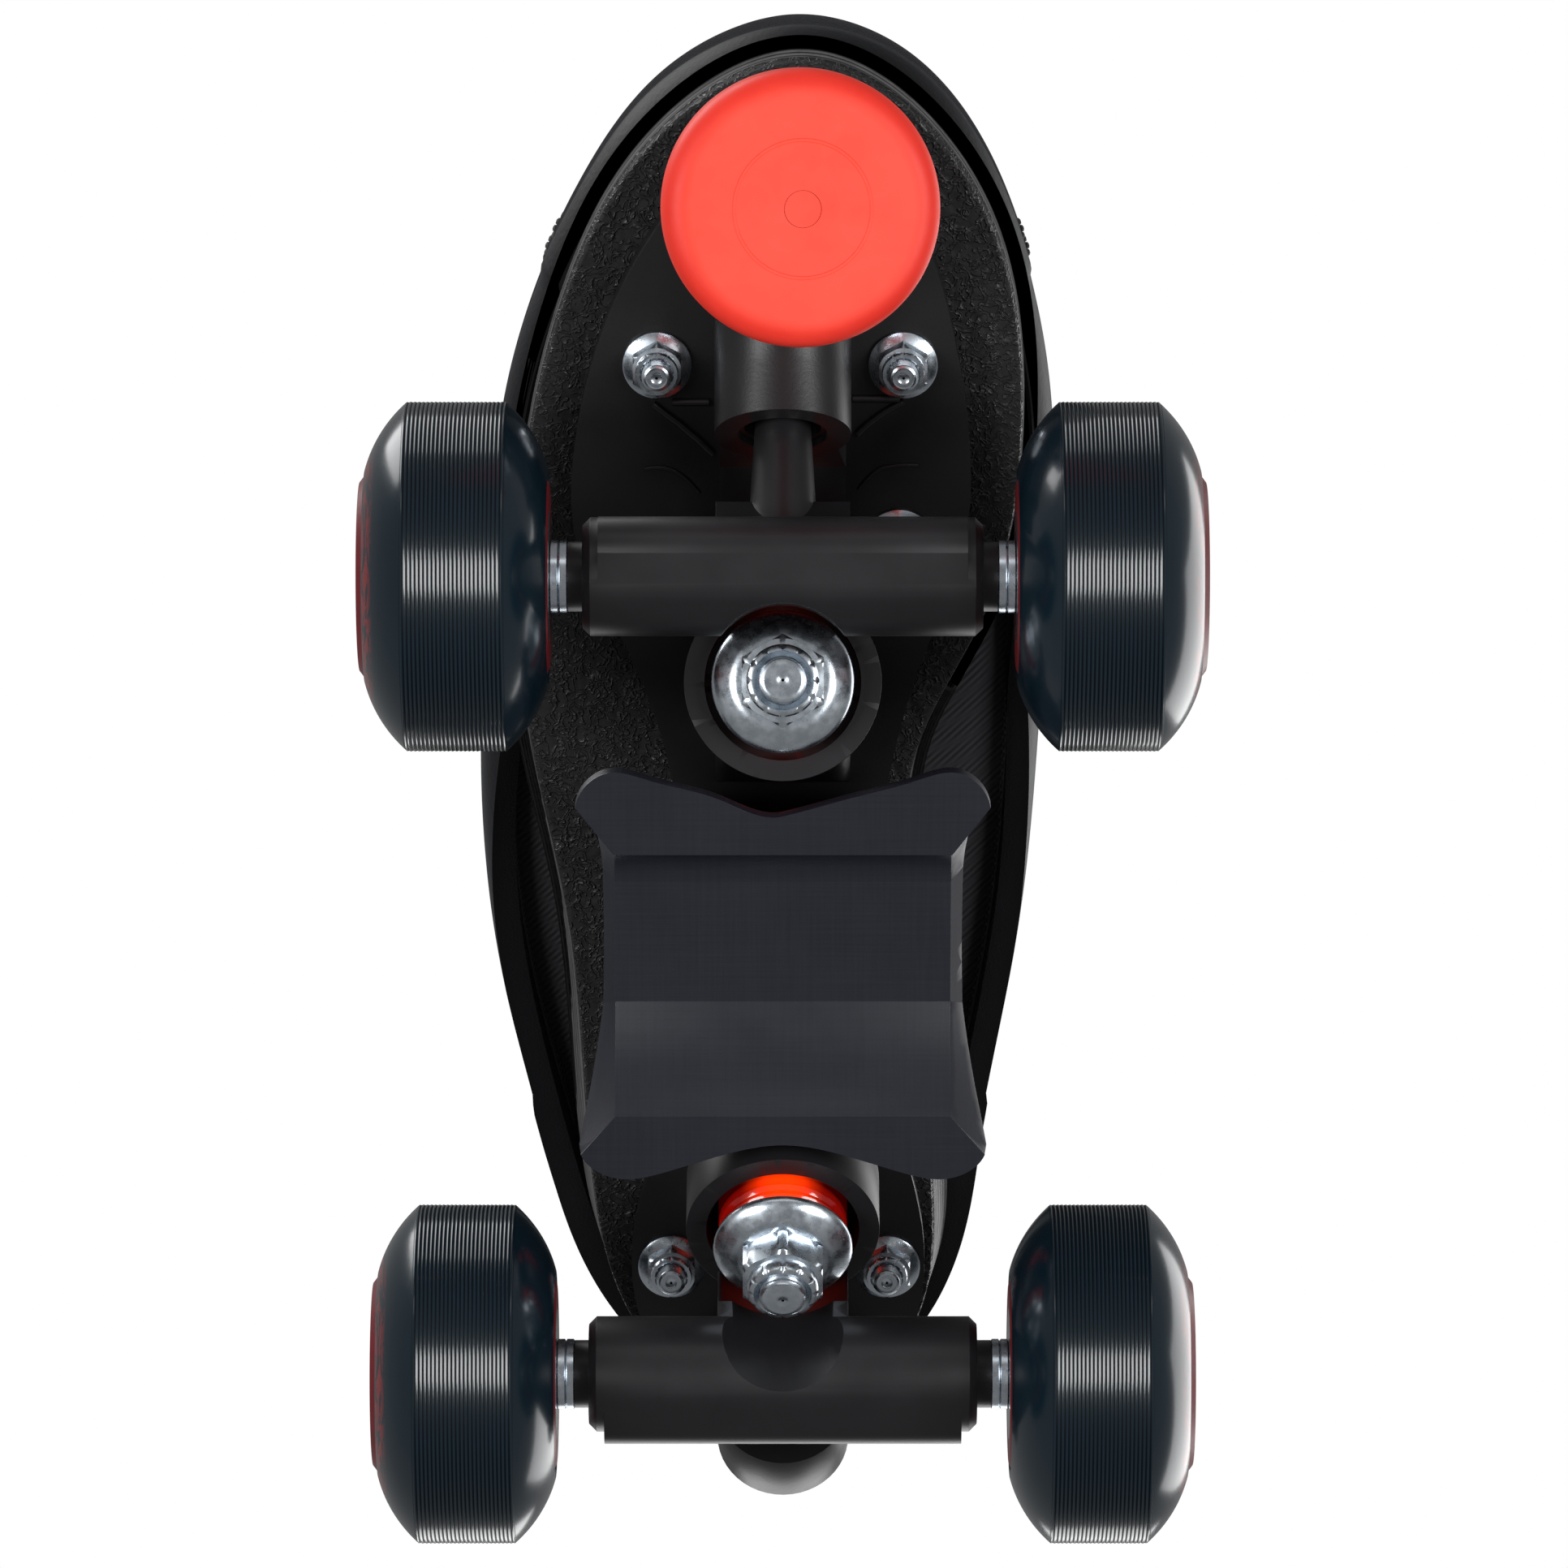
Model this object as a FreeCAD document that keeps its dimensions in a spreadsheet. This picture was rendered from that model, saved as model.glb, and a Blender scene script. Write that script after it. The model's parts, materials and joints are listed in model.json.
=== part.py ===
import FreeCAD, Part
import math
import os
import re

import Sketcher
from FreeCAD import Placement, Rotation, Vector

# A quad roller skate for the right foot, in millimetres.
# +Z is up, the toe points to -Y and the inner (medial) side of the foot is +X.
# The skate stands on its four wheels at Z = 0, and the origin is under the middle of its box.
# "Chassis Y" is measured from halfway between the axles; mid_y moves it to the part's own origin.

os.makedirs("parts", exist_ok=True)
doc = FreeCAD.newDocument("QuadRollerSkate")

DIMENSIONS = {
    "mid_y": 25.09,
    "wheelbase": 142.1,
    # wheel
    "wheel_radius": 28.5,
    "wheel_half_width": 15.8,
    "tread_half_width": 8.1,
    "shoulder_drop": 5.1,
    "shoulder_half_width": 13.1,
    "shoulder_round": 15.0,
    "wheel_centre_x": 53.1,
    "core_radius": 17.0,
    "tyre_seat_half_width": 14.6,
    # bearing and what is beside it on the axle
    "bearing_radius": 11.0,
    "bearing_bore_radius": 4.0,
    "bearing_width": 7.0,
    "bearing_spacer_length": 10.3,
    "inner_bearing_face": 15.1,
    "race_inner_radius": 9.4,
    "race_outer_radius": 5.7,
    "shield_radius": 6.0,
    "shield_thickness": 0.4,
    "axle_radius": 3.98,
    "axle_half_length": 68.8,
    "axle_nut_flats": 13.0,
    "axle_nut_height": 5.4,
    "axle_washer_thickness": 0.8,
    "speed_ring_radius": 5.9,
    "neck_end": 35.0,
    # truck
    "hanger_radius": 9.7,
    "hanger_half_length": 32.6,
    "hanger_chamfer": 1.3,
    "neck_radius": 5.7,
    "arm_half_width": 11.0,
    "rib_radius": 5.5,
    "rib_out": 5.55,
    "rib_up": -2.9,
    "kingpin_tilt": 21.0,
    "kingpin_radius": 3.95,
    "washer_out": 20.35,
    "washer_up": 6.0,
    "ring_radius": 16.3,
    "ring_opening_radius": 12.9,
    "ring_low": 4.6,
    "ring_high": 17.2,
    "web_low": 12.3,
    "web_high": 16.3,
    "web_hole_radius": 6.2,
    "scoop_radius": 12.4,
    "cup_washer_radius": 11.75,
    "lower_cushion_radius": 10.9,
    "upper_cushion_radius": 11.8,
    "upper_cushion_top": 30.3,
    "seat_station": 31.8,
    "kingpin_nut_flats": 13.4,
    "pivot_out": 23.45,
    "pivot_up": 30.0,
    "pivot_pin_slope": 40.0,
    "pivot_tip_radius": 4.2,
    "pivot_root_radius": 5.9,
    # plate and sole
    "plate_bottom": 70.0,
    "plate_top": 76.0,
    "outsole_top": 79.0,
    "spine_half_width": 11.4,
    "spine_round": 11.3,
    "kingpin_boss_round": 5.0,
    "mount_bolt_radius": 2.5,
    "mount_flange_radius": 5.75,
    "mount_nut_flats": 8.0,
    "mount_nut_height": 5.6,
    "mount_bolt_reach": 2.2,
    "mount_head_radius": 6.5,
    "mount_head_height": 1.6,
    # toe stop
    "stop_radius": 22.2,
    "stop_height": 21.0,
    "stop_back_radius": 19.0,
    "stop_rim_fillet": 3.6,
    "stem_radius": 7.9,
    "stem_forward_tilt": 14.0,
    "stem_side_tilt": 4.0,
    # slide block
    "block_bottom": 31.0,
    "block_rim_top": 33.5,
    "groove_top": 42.0,
    # boot
    "upper_wall": 4.2,
}

sheet = doc.addObject("Spreadsheet::Sheet", "dims")
for row, (alias, value) in enumerate(DIMENSIONS.items(), start=1):
    sheet.set(f"A{row}", alias)
    sheet.set(f"B{row}", str(value))
    sheet.setAlias(f"B{row}", alias)
doc.recompute()

UP = Vector(0, 0, 1)
RIGHT = Vector(1, 0, 0)
FRONT, REAR = -1, 1
LEFT_WHEEL, RIGHT_WHEEL = -1, 1


def dim(alias):
    """The value of one cell of the sheet."""
    return float(sheet.get(alias))


def bound(text):
    """An expression for setExpression, with each alias written as a cell of the sheet."""
    return re.sub(r"[a-z_]+", lambda word: "dims." + word.group(), str(text))


def chassis(x, y, z):
    """A point given in chassis coordinates, in the part's own frame."""
    return Vector(x, y + dim("mid_y"), z)


def along(base, axis):
    """A placement at base whose own Z axis points along axis."""
    return Placement(base, Rotation(UP, axis))


def set_sizes(piece, **sizes):
    for name, text in sizes.items():
        piece.setExpression(name, bound(text))


def cylinder(name, radius, height, base, axis=UP):
    piece = doc.addObject("Part::Cylinder", name)
    set_sizes(piece, Radius=radius, Height=height)
    piece.Placement = along(base, axis)
    return piece


def hexagon(name, flats, height, base, axis=UP):
    piece = doc.addObject("Part::Prism", name)
    piece.Polygon = 6
    set_sizes(piece, Circumradius=f"{flats} / 1.7320508", Height=height)
    piece.Placement = along(base, axis)
    return piece


def fuse(name, pieces):
    piece = doc.addObject("Part::MultiFuse", name)
    piece.Shapes = pieces
    return piece


def cut(name, base, tools):
    piece = doc.addObject("Part::Cut", name)
    piece.Base = base
    piece.Tool = tools[0] if len(tools) == 1 else fuse(name + "_tools", tools)
    return piece


def group(name, pieces):
    """Identical pieces that share one node as separate solids."""
    piece = doc.addObject("Part::Compound", name)
    piece.Links = pieces
    return piece


def solid(name, shape):
    """A shape made with Part's own functions in chassis coordinates."""
    piece = doc.addObject("Part::Feature", name)
    piece.Shape = shape
    piece.Placement = Placement(chassis(0, 0, 0), Rotation())
    return piece


def circles_of(shape, radius):
    """The names of the circular edges that have this radius."""
    return [f"Edge{number}" for number, edge in enumerate(shape.Edges, start=1)
            if isinstance(edge.Curve, Part.Circle) and abs(edge.Curve.Radius - radius) < 0.001]


def turned(name, profile, base, axis=UP, fillet=None):
    """A PartDesign body: a closed (radius, height) profile turned about the body's Z axis.

    fillet is (radius of the round, radius of the circular edges that get it).
    """
    body = doc.addObject("PartDesign::Body", name)
    sketch = body.newObject("Sketcher::SketchObject", name + "_profile")
    plane = next(item for item in body.Origin.OriginFeatures if item.Role == "XZ_Plane")
    sketch.AttachmentSupport = (plane, [""])
    sketch.MapMode = "FlatFace"
    count = len(profile)
    start_radius = 10.0
    turns = [2 * math.pi * index / count for index in range(count)]
    corners = [Vector(2 * start_radius + start_radius * math.cos(turn), start_radius * math.sin(turn), 0)
               for turn in turns]
    for index in range(count):
        sketch.addGeometry(Part.LineSegment(corners[index], corners[(index + 1) % count]))
    for index in range(count):
        sketch.addConstraint(Sketcher.Constraint("Coincident", index, 2, (index + 1) % count, 1))
    for index, (radius, height) in enumerate(profile):
        across = sketch.addConstraint(
            Sketcher.Constraint("DistanceX", -1, 1, index, 1, corners[index].x))
        sketch.setExpression(f"Constraints[{across}]", bound(radius))
        if height == 0:
            sketch.addConstraint(Sketcher.Constraint("PointOnObject", index, 1, -1))
        else:
            upward = sketch.addConstraint(
                Sketcher.Constraint("DistanceY", -1, 1, index, 1, corners[index].y))
            sketch.setExpression(f"Constraints[{upward}]", bound(height))
    turning = body.newObject("PartDesign::Revolution", name + "_turned")
    turning.Profile = sketch
    turning.ReferenceAxis = (sketch, ["V_Axis"])
    turning.Angle = 360
    if fillet:
        doc.recompute()
        round_size, edge_radius = fillet
        rounding = body.newObject("PartDesign::Fillet", name + "_round")
        rounding.Base = (turning, circles_of(turning.Shape, edge_radius))
        rounding.setExpression("Radius", bound(round_size))
        body.Tip = rounding
    body.Placement = along(base, axis)
    return body


def side_prism(name, points, half_width, centre_x=0.0):
    """A block with the given (y, z) outline, extruded across X."""
    corners = [Vector(centre_x - half_width, y, z) for y, z in points]
    face = Part.Face(Part.makePolygon(corners + corners[:1]))
    return solid(name, face.extrude(Vector(2 * half_width, 0, 0)))


def plan_wire(points, z):
    """A smooth closed outline through (x, y) points at height z."""
    curve = Part.BSplineCurve()
    curve.interpolate([Vector(x, y, z) for x, y in points], PeriodicFlag=True)
    return Part.Wire(curve.toShape())


# ---------------------------------------------------------------- wheels

AXLE_Y = {FRONT: -dim("wheelbase") / 2, REAR: dim("wheelbase") / 2}
AXLE_Z = dim("wheel_radius")
END_NAME = {FRONT: "front", REAR: "rear"}
SIDE_NAME = {LEFT_WHEEL: "left", RIGHT_WHEEL: "right"}
ENDS = (FRONT, REAR)
SIDES = (LEFT_WHEEL, RIGHT_WHEEL)


def wheel_spot(end, side):
    return chassis(side * dim("wheel_centre_x"), AXLE_Y[end], AXLE_Z)


def axle_spot(end, side, distance):
    return chassis(side * distance, AXLE_Y[end], AXLE_Z)


def make_tyre(end, side):
    """The poured urethane tyre: a flat ground tread with crisp edges, then rounded shoulders."""
    name = f"tyre_{END_NAME[end]}_{SIDE_NAME[side]}"
    half_profile = [
        ("core_radius + 0.01", "tyre_seat_half_width"),
        ("core_radius + 0.6", "tyre_seat_half_width + 0.3"),
        ("wheel_radius - shoulder_drop", "shoulder_half_width"),
        ("wheel_radius", "tread_half_width"),
    ]
    profile = [(radius, f"-({across})") for radius, across in half_profile] + half_profile[::-1]
    edge_radius = dim("wheel_radius") - dim("shoulder_drop")
    return turned(name, profile, wheel_spot(end, side), RIGHT * side, ("shoulder_round", edge_radius))


def make_core(end, side):
    """The hard hub that holds the two bearings, with a shoulder between them."""
    name = f"wheel_core_{END_NAME[end]}_{SIDE_NAME[side]}"
    shoulder_start = "-(inner_bearing_face - bearing_width)"
    shoulder_end = "bearing_spacer_length + bearing_width - inner_bearing_face"
    profile = [
        ("bearing_radius + 0.01", "-inner_bearing_face"),
        ("core_radius - 2.0", "-inner_bearing_face"),
        ("core_radius", "-(tyre_seat_half_width - 0.4)"),
        ("core_radius", "tyre_seat_half_width"),
        ("core_radius - 1.6", "wheel_half_width"),
        ("bearing_radius + 2.4", "wheel_half_width"),
        ("bearing_radius + 0.01", "wheel_half_width - 3.2"),
        ("bearing_radius + 0.01", shoulder_end),
        ("bearing_radius - 1.2", shoulder_end),
        ("bearing_radius - 1.2", shoulder_start),
        ("bearing_radius + 0.01", shoulder_start),
    ]
    return turned(name, profile, wheel_spot(end, side), RIGHT * side)


def bearing_starts():
    """Where the two bearings of a wheel begin, measured outward from the middle of the skate."""
    inner = dim("wheel_centre_x") - dim("inner_bearing_face")
    return inner, inner + dim("bearing_width") + dim("bearing_spacer_length")


def make_outer_races(end, side):
    """The outer rings of the two bearings, each with its pair of shields."""
    name = f"bearing_outer_races_{END_NAME[end]}_{SIDE_NAME[side]}"
    profile = [
        ("bearing_radius", 0),
        ("bearing_radius", "bearing_width"),
        ("shield_radius", "bearing_width"),
        ("shield_radius", "bearing_width - shield_thickness"),
        ("race_inner_radius", "bearing_width - shield_thickness"),
        ("race_inner_radius", "shield_thickness"),
        ("shield_radius", "shield_thickness"),
        ("shield_radius", 0),
    ]
    rings = [turned(f"{name}_{count}", profile, axle_spot(end, side, start), RIGHT * side)
             for count, start in enumerate(bearing_starts())]
    return group(name, rings)


def make_ring(name, inner, outer, length, base, axis):
    return turned(name, [(inner, 0), (outer, 0), (outer, length), (inner, length)], base, axis)


def make_inner_races(end):
    name = f"bearing_inner_races_{END_NAME[end]}"
    rings = [make_ring(f"{name}_{SIDE_NAME[side]}_{count}", "bearing_bore_radius", "race_outer_radius",
                       "bearing_width", axle_spot(end, side, start), RIGHT * side)
             for side in SIDES for count, start in enumerate(bearing_starts())]
    return group(name, rings)


def make_bearing_spacers(end):
    name = f"bearing_spacers_{END_NAME[end]}"
    start = bearing_starts()[0] + dim("bearing_width")
    sleeves = [make_ring(f"{name}_{SIDE_NAME[side]}", "bearing_bore_radius", "race_outer_radius - 0.2",
                         "bearing_spacer_length", axle_spot(end, side, start), RIGHT * side)
               for side in SIDES]
    return group(name, sleeves)


def make_speed_rings(end):
    """Two zinc rings between the hanger neck and the inner bearing, and a washer under each nut."""
    name = f"speed_rings_{END_NAME[end]}"
    first_bearing, last_bearing = bearing_starts()
    gap = first_bearing - dim("neck_end")
    ring_length = gap / 2 - 0.05
    rings = []
    for side in SIDES:
        for count in range(2):
            start = dim("neck_end") + count * (gap / 2)
            rings.append(turned(f"{name}_{SIDE_NAME[side]}_{count}", [
                ("bearing_bore_radius", 0),
                ("race_outer_radius - 0.1", 0),
                ("speed_ring_radius", 0.2),
                ("speed_ring_radius", ring_length - 0.2),
                ("race_outer_radius - 0.1", ring_length),
                ("bearing_bore_radius", ring_length),
            ], axle_spot(end, side, start), RIGHT * side))
        nut_side = last_bearing + dim("bearing_width")
        rings.append(make_ring(f"{name}_{SIDE_NAME[side]}_outer", "bearing_bore_radius",
                               "race_outer_radius - 0.1", "axle_washer_thickness",
                               axle_spot(end, side, nut_side), RIGHT * side))
    return group(name, rings)


def make_axle(end):
    return cylinder(f"axle_{END_NAME[end]}", "axle_radius", "2 * axle_half_length",
                    axle_spot(end, RIGHT_WHEEL, -dim("axle_half_length")), RIGHT)


def make_axle_nuts(end):
    """Self-locking nuts: a hexagon and the round collar that holds its nylon ring."""
    name = f"axle_nuts_{END_NAME[end]}"
    start = bearing_starts()[1] + dim("bearing_width") + dim("axle_washer_thickness")
    nuts = []
    for side in SIDES:
        label = f"{name}_{SIDE_NAME[side]}"
        base = axle_spot(end, side, start)
        body = fuse(label + "_body", [
            hexagon(label + "_hex", "axle_nut_flats", "axle_nut_height - 1.6", base, RIGHT * side),
            cylinder(label + "_collar", "axle_nut_flats / 2 - 0.7", "axle_nut_height", base, RIGHT * side),
        ])
        bore = cylinder(label + "_bore", "bearing_bore_radius", "axle_nut_height + 1", base, RIGHT * side)
        nuts.append(cut(label, body, [bore]))
    return group(name, nuts)


# ---------------------------------------------------------------- trucks

TILT = math.radians(dim("kingpin_tilt"))


def kingpin_up(end):
    """The kingpin leans, so that its nut is nearer to the axle than its head."""
    return Vector(0, -end * math.sin(TILT), math.cos(TILT))


def kingpin_out(end):
    """Square to the kingpin, towards the end of the skate and up."""
    return Vector(0, end * math.cos(TILT), math.sin(TILT))


def station(end, height, out=0.0):
    """A point on the kingpin's line, height above the cup washer's rim."""
    rim = chassis(0, AXLE_Y[end] - end * dim("washer_out"), AXLE_Z + dim("washer_up"))
    return rim + kingpin_up(end) * height + kingpin_out(end) * out


def pivot_tip(end):
    """The centre of the round tip that turns in the pivot cup."""
    return chassis(0, AXLE_Y[end] + end * dim("pivot_out"), AXLE_Z + dim("pivot_up"))


def pivot_pin_down(end):
    """The direction of the pivot pin, from its tip to the hanger."""
    slope = math.radians(dim("pivot_pin_slope"))
    return Vector(0, -end * math.cos(slope), -math.sin(slope))


def on_kingpin(name, profile, end, height):
    """A turned piece on the kingpin that begins at the given station."""
    return turned(f"{name}_{END_NAME[end]}", profile, station(end, height), kingpin_up(end))


def rib_hull(name, end, length):
    """The flat-sided hull between the hanger's round section and its upper outer rib."""
    out, up = dim("rib_out"), dim("rib_up")
    reach = math.hypot(out, up)
    lean = math.atan2(up, out)
    spread = math.acos((dim("hanger_radius") - dim("rib_radius")) / reach)
    corners = []
    for turn in (lean + spread, lean - spread):
        direction = (math.cos(turn), math.sin(turn))
        big = (dim("hanger_radius") * direction[0], dim("hanger_radius") * direction[1])
        small = (out + dim("rib_radius") * direction[0], up + dim("rib_radius") * direction[1])
        corners += [big, small] if not corners else [small, big]
    points = [(AXLE_Y[end] + end * across, AXLE_Z + upward) for across, upward in corners]
    return side_prism(name, points, length)


# The arm from the axle tube to the yoke ring, seen from the side: (outward, upward) from the axle.
ARM_OUTLINE = [
    (8.0, 14.5), (2.5, 24.0), (-13.0, 28.0), (-18.0, 24.0), (-15.0, 16.0), (-9.0, 2.0), (4.0, -2.0),
]
PIVOT_PIN_LENGTH = 30.0
SWING_BASE = -3.4
SCOOP_DEPTH = 40.0


def make_hanger(end):
    """The cast hanger: axle tube, yoke ring round the cushions and pivot pin."""
    name = f"hanger_{END_NAME[end]}"
    half = dim("hanger_half_length")
    tube = turned(name + "_tube", [
        ("axle_radius + 0.01", "-neck_end"),
        ("neck_radius", "-neck_end"),
        ("neck_radius", "-hanger_half_length"),
        ("hanger_radius - hanger_chamfer", "-hanger_half_length"),
        ("hanger_radius", "-(hanger_half_length - hanger_chamfer)"),
        ("hanger_radius", "hanger_half_length - hanger_chamfer"),
        ("hanger_radius - hanger_chamfer", "hanger_half_length"),
        ("neck_radius", "hanger_half_length"),
        ("neck_radius", "neck_end"),
        ("axle_radius + 0.01", "neck_end"),
    ], axle_spot(end, RIGHT_WHEEL, 0), RIGHT)
    rib_half = half - 2 * dim("hanger_chamfer")
    rib_centre = chassis(-rib_half, AXLE_Y[end] + end * dim("rib_out"), AXLE_Z + dim("rib_up"))
    rib = cylinder(name + "_rib", "rib_radius", 2 * rib_half, rib_centre, RIGHT)
    hull = rib_hull(name + "_hull", end, rib_half)
    arm = side_prism(name + "_arm", [(AXLE_Y[end] + end * out, AXLE_Z + up) for out, up in ARM_OUTLINE],
                     dim("arm_half_width"))
    ring = cylinder(name + "_ring", "ring_radius", "ring_high - ring_low",
                    station(end, dim("ring_low")), kingpin_up(end))
    root = pivot_tip(end) + pivot_pin_down(end) * PIVOT_PIN_LENGTH
    pin = doc.addObject("Part::Cone", name + "_pin")
    set_sizes(pin, Radius1="pivot_root_radius", Radius2="pivot_tip_radius", Height=PIVOT_PIN_LENGTH)
    pin.Placement = along(root, pivot_pin_down(end) * -1)
    tip = doc.addObject("Part::Sphere", name + "_tip")
    set_sizes(tip, Radius="pivot_tip_radius")
    tip.Placement = along(pivot_tip(end), UP)
    body = fuse(name + "_body", [tube, rib, hull, arm, ring, pin, tip])
    bore = cylinder(name + "_bore", "axle_radius + 0.01", "2 * neck_end",
                    axle_spot(end, RIGHT_WHEEL, -dim("neck_end")), RIGHT)
    scoop = cylinder(name + "_scoop", "scoop_radius", SCOOP_DEPTH,
                     station(end, dim("ring_low") - SCOOP_DEPTH), kingpin_up(end))
    swing = cylinder(name + "_swing", "cup_washer_radius + 2.9", f"ring_low - ({SWING_BASE})",
                     station(end, SWING_BASE), kingpin_up(end))
    cup = cylinder(name + "_cup", "ring_opening_radius", "web_low - ring_low + 1",
                   station(end, dim("ring_low") - 1), kingpin_up(end))
    hole = cylinder(name + "_hole", "web_hole_radius", 60, station(end, -10), kingpin_up(end))
    recess = cylinder(name + "_recess", "ring_opening_radius", 20,
                      station(end, dim("web_high")), kingpin_up(end))
    return cut(name, body, [bore, scoop, swing, cup, hole, recess])


def make_lower_cushion(end):
    return on_kingpin("lower_cushion", [
        ("kingpin_radius + 0.3", 0),
        ("lower_cushion_radius - 2.8", 0),
        ("lower_cushion_radius - 0.7", 2.2),
        ("lower_cushion_radius", 4.0),
        ("lower_cushion_radius", f"web_low - ({LOWER_CUSHION_STATION})"),
        ("kingpin_radius + 0.3", f"web_low - ({LOWER_CUSHION_STATION})"),
    ], end, LOWER_CUSHION_STATION)


def make_upper_cushion(end):
    height = "upper_cushion_top - web_high"
    return on_kingpin("upper_cushion", [
        ("kingpin_radius + 0.3", 0),
        ("upper_cushion_radius - 0.8", 0),
        ("upper_cushion_radius", f"({height}) / 2"),
        ("upper_cushion_radius - 0.8", height),
        ("kingpin_radius + 0.3", height),
    ], end, dim("web_high"))


def make_lower_cup_washer(end):
    return on_kingpin("lower_cup_washer", [
        ("kingpin_radius + 0.15", 0),
        ("cup_washer_radius - 3.4", 0),
        ("cup_washer_radius - 0.9", 1.3),
        ("cup_washer_radius", 2.9),
        ("cup_washer_radius", 3.8),
        ("cup_washer_radius - 1.4", 3.8),
        ("cup_washer_radius - 3.5", 1.6),
        ("kingpin_radius + 0.15", 1.6),
    ], end, CUP_WASHER_STATION)


def make_upper_cup_washer(end):
    return on_kingpin("upper_cup_washer", [
        ("kingpin_radius + 0.15", 0),
        ("upper_cushion_radius + 0.5", 0),
        ("upper_cushion_radius + 0.5", "seat_station - upper_cushion_top - 0.04"),
        ("kingpin_radius + 0.15", "seat_station - upper_cushion_top - 0.04"),
    ], end, dim("upper_cushion_top"))


CUP_WASHER_STATION = -3.0
LOWER_CUSHION_STATION = -1.4
KINGPIN_NUT_COLLAR = 8.0
KINGPIN_TIP = -12.6
KINGPIN_HEAD = 36.6
KINGPIN_HEAD_HEIGHT = 4.6
KINGPIN_HEAD_RADIUS = 6.4


def make_kingpin(end):
    """The bolt, with its round head held in the plate."""
    return on_kingpin("kingpin", [
        (0.4, 0),
        ("kingpin_radius - 0.7", 0),
        ("kingpin_radius", 0.7),
        ("kingpin_radius", KINGPIN_HEAD - KINGPIN_TIP),
        (KINGPIN_HEAD_RADIUS, KINGPIN_HEAD - KINGPIN_TIP),
        (KINGPIN_HEAD_RADIUS, KINGPIN_HEAD - KINGPIN_TIP + KINGPIN_HEAD_HEIGHT),
        (0.4, KINGPIN_HEAD - KINGPIN_TIP + KINGPIN_HEAD_HEIGHT),
    ], end, KINGPIN_TIP)


def make_kingpin_nut(end):
    name = f"kingpin_nut_{END_NAME[end]}"
    down = kingpin_up(end) * -1
    base = station(end, CUP_WASHER_STATION)
    body = fuse(name + "_body", [
        hexagon(name + "_hex", "kingpin_nut_flats", 5.6, base, down),
        cylinder(name + "_collar", "kingpin_nut_flats / 2 - 0.8", KINGPIN_NUT_COLLAR, base, down),
    ])
    bore = cylinder(name + "_bore", "kingpin_radius + 0.03", 10, base + kingpin_up(end), down)
    return cut(name, body, [bore])


CUP_BACK = 6.6
CUP_MOUTH = 8.0
CUP_WALL = 3.2


def make_pivot_cup(end):
    """The urethane cup in the plate, with a flared mouth that leaves the pin room to swing."""
    name = f"pivot_cup_{END_NAME[end]}"
    down = pivot_pin_down(end)
    back = pivot_tip(end) - down * CUP_BACK
    shell = cylinder(name + "_shell", f"pivot_tip_radius + {CUP_WALL}", CUP_BACK + CUP_MOUTH, back, down)
    flare = doc.addObject("Part::Cone", name + "_flare")
    set_sizes(flare, Radius1="pivot_tip_radius + 0.12", Radius2="pivot_tip_radius + 2.3",
              Height=CUP_MOUTH + 0.5)
    flare.Placement = along(pivot_tip(end), down)
    seat = doc.addObject("Part::Sphere", name + "_seat")
    set_sizes(seat, Radius="pivot_tip_radius + 0.12")
    seat.Placement = along(pivot_tip(end), UP)
    return cut(name, shell, [flare, seat])


# ---------------------------------------------------------------- plate, bolts and toe stop

MOUNT_SPOTS = {
    FRONT: [(-20.9, -94.0), (20.0, -94.0), (-20.4, -61.4), (19.5, -62.9)],
    REAR: [(-19.2, 69.2), (17.9, 69.2), (-13.6, 86.0), (12.4, 86.0)],
}
MOUNT_POINTS = [spot for end in ENDS for spot in MOUNT_SPOTS[end]]
BLOCK_SCREWS = [(-11.0, 0.0), (11.0, 0.0)]
BLOCK_SCREW_RADIUS = 2.5
BLOCK_SCREW_HEAD = 4.5
BLOCK_SCREW_SINK = 3.3
BLOCK_SCREW_HEAD_HEIGHT = 2.8
BLOCK_SCREW_REACH = 23
STEM_BOSS_RADIUS = 13.4

# Plate outline, lateral side from toe to heel and back along the medial side.
PLATE_OUTLINE = [
    (0.0, -139.5), (-10.5, -134.5), (-17.6, -123.0), (-24.3, -112.0), (-31.0, -96.5), (-34.7, -80.0),
    (-34.6, -63.0), (-27.2, -45.8), (-20.5, -28.0), (-17.0, -8.0), (-16.6, 18.0), (-20.0, 42.0),
    (-25.5, 62.0), (-25.0, 78.0), (-17.0, 92.0), (0.0, 97.0),
    (15.8, 92.0), (23.4, 78.0), (24.0, 62.0), (19.5, 42.0), (16.0, 18.0), (15.8, -8.0), (18.6, -24.0),
    (22.8, -40.0), (30.0, -60.0), (31.2, -80.0), (28.6, -98.0), (24.6, -113.0), (18.4, -125.0),
    (10.5, -134.5),
]


def stem_down():
    forward = math.tan(math.radians(dim("stem_forward_tilt")))
    sideways = math.tan(math.radians(dim("stem_side_tilt")))
    return Vector(sideways, -forward, -1).normalize()


STOP_FACE = Vector(3.2, -138.5, 12.0)
STOP_HOLE_RADIUS = 3.0
DISC_RADIUS = 13.0
DISC_HEIGHT = 11.0
DISC_THICKNESS = 3.0
STEM_LENGTH = 48.0
STEM_NUT_FLATS = 23.8
STEM_NUT_THICKNESS = 6.0
STEM_NUT_HEIGHT = 34.5


def stem_spot(distance):
    """A point on the toe stop's axis, this far up from its face."""
    return chassis(*STOP_FACE) - stem_down() * distance


def tube_between(name, radius, start, finish):
    """A cylinder from one chassis point to another."""
    along_it = chassis(*finish) - chassis(*start)
    return cylinder(name, radius, along_it.Length, chassis(*start), along_it)


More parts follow.
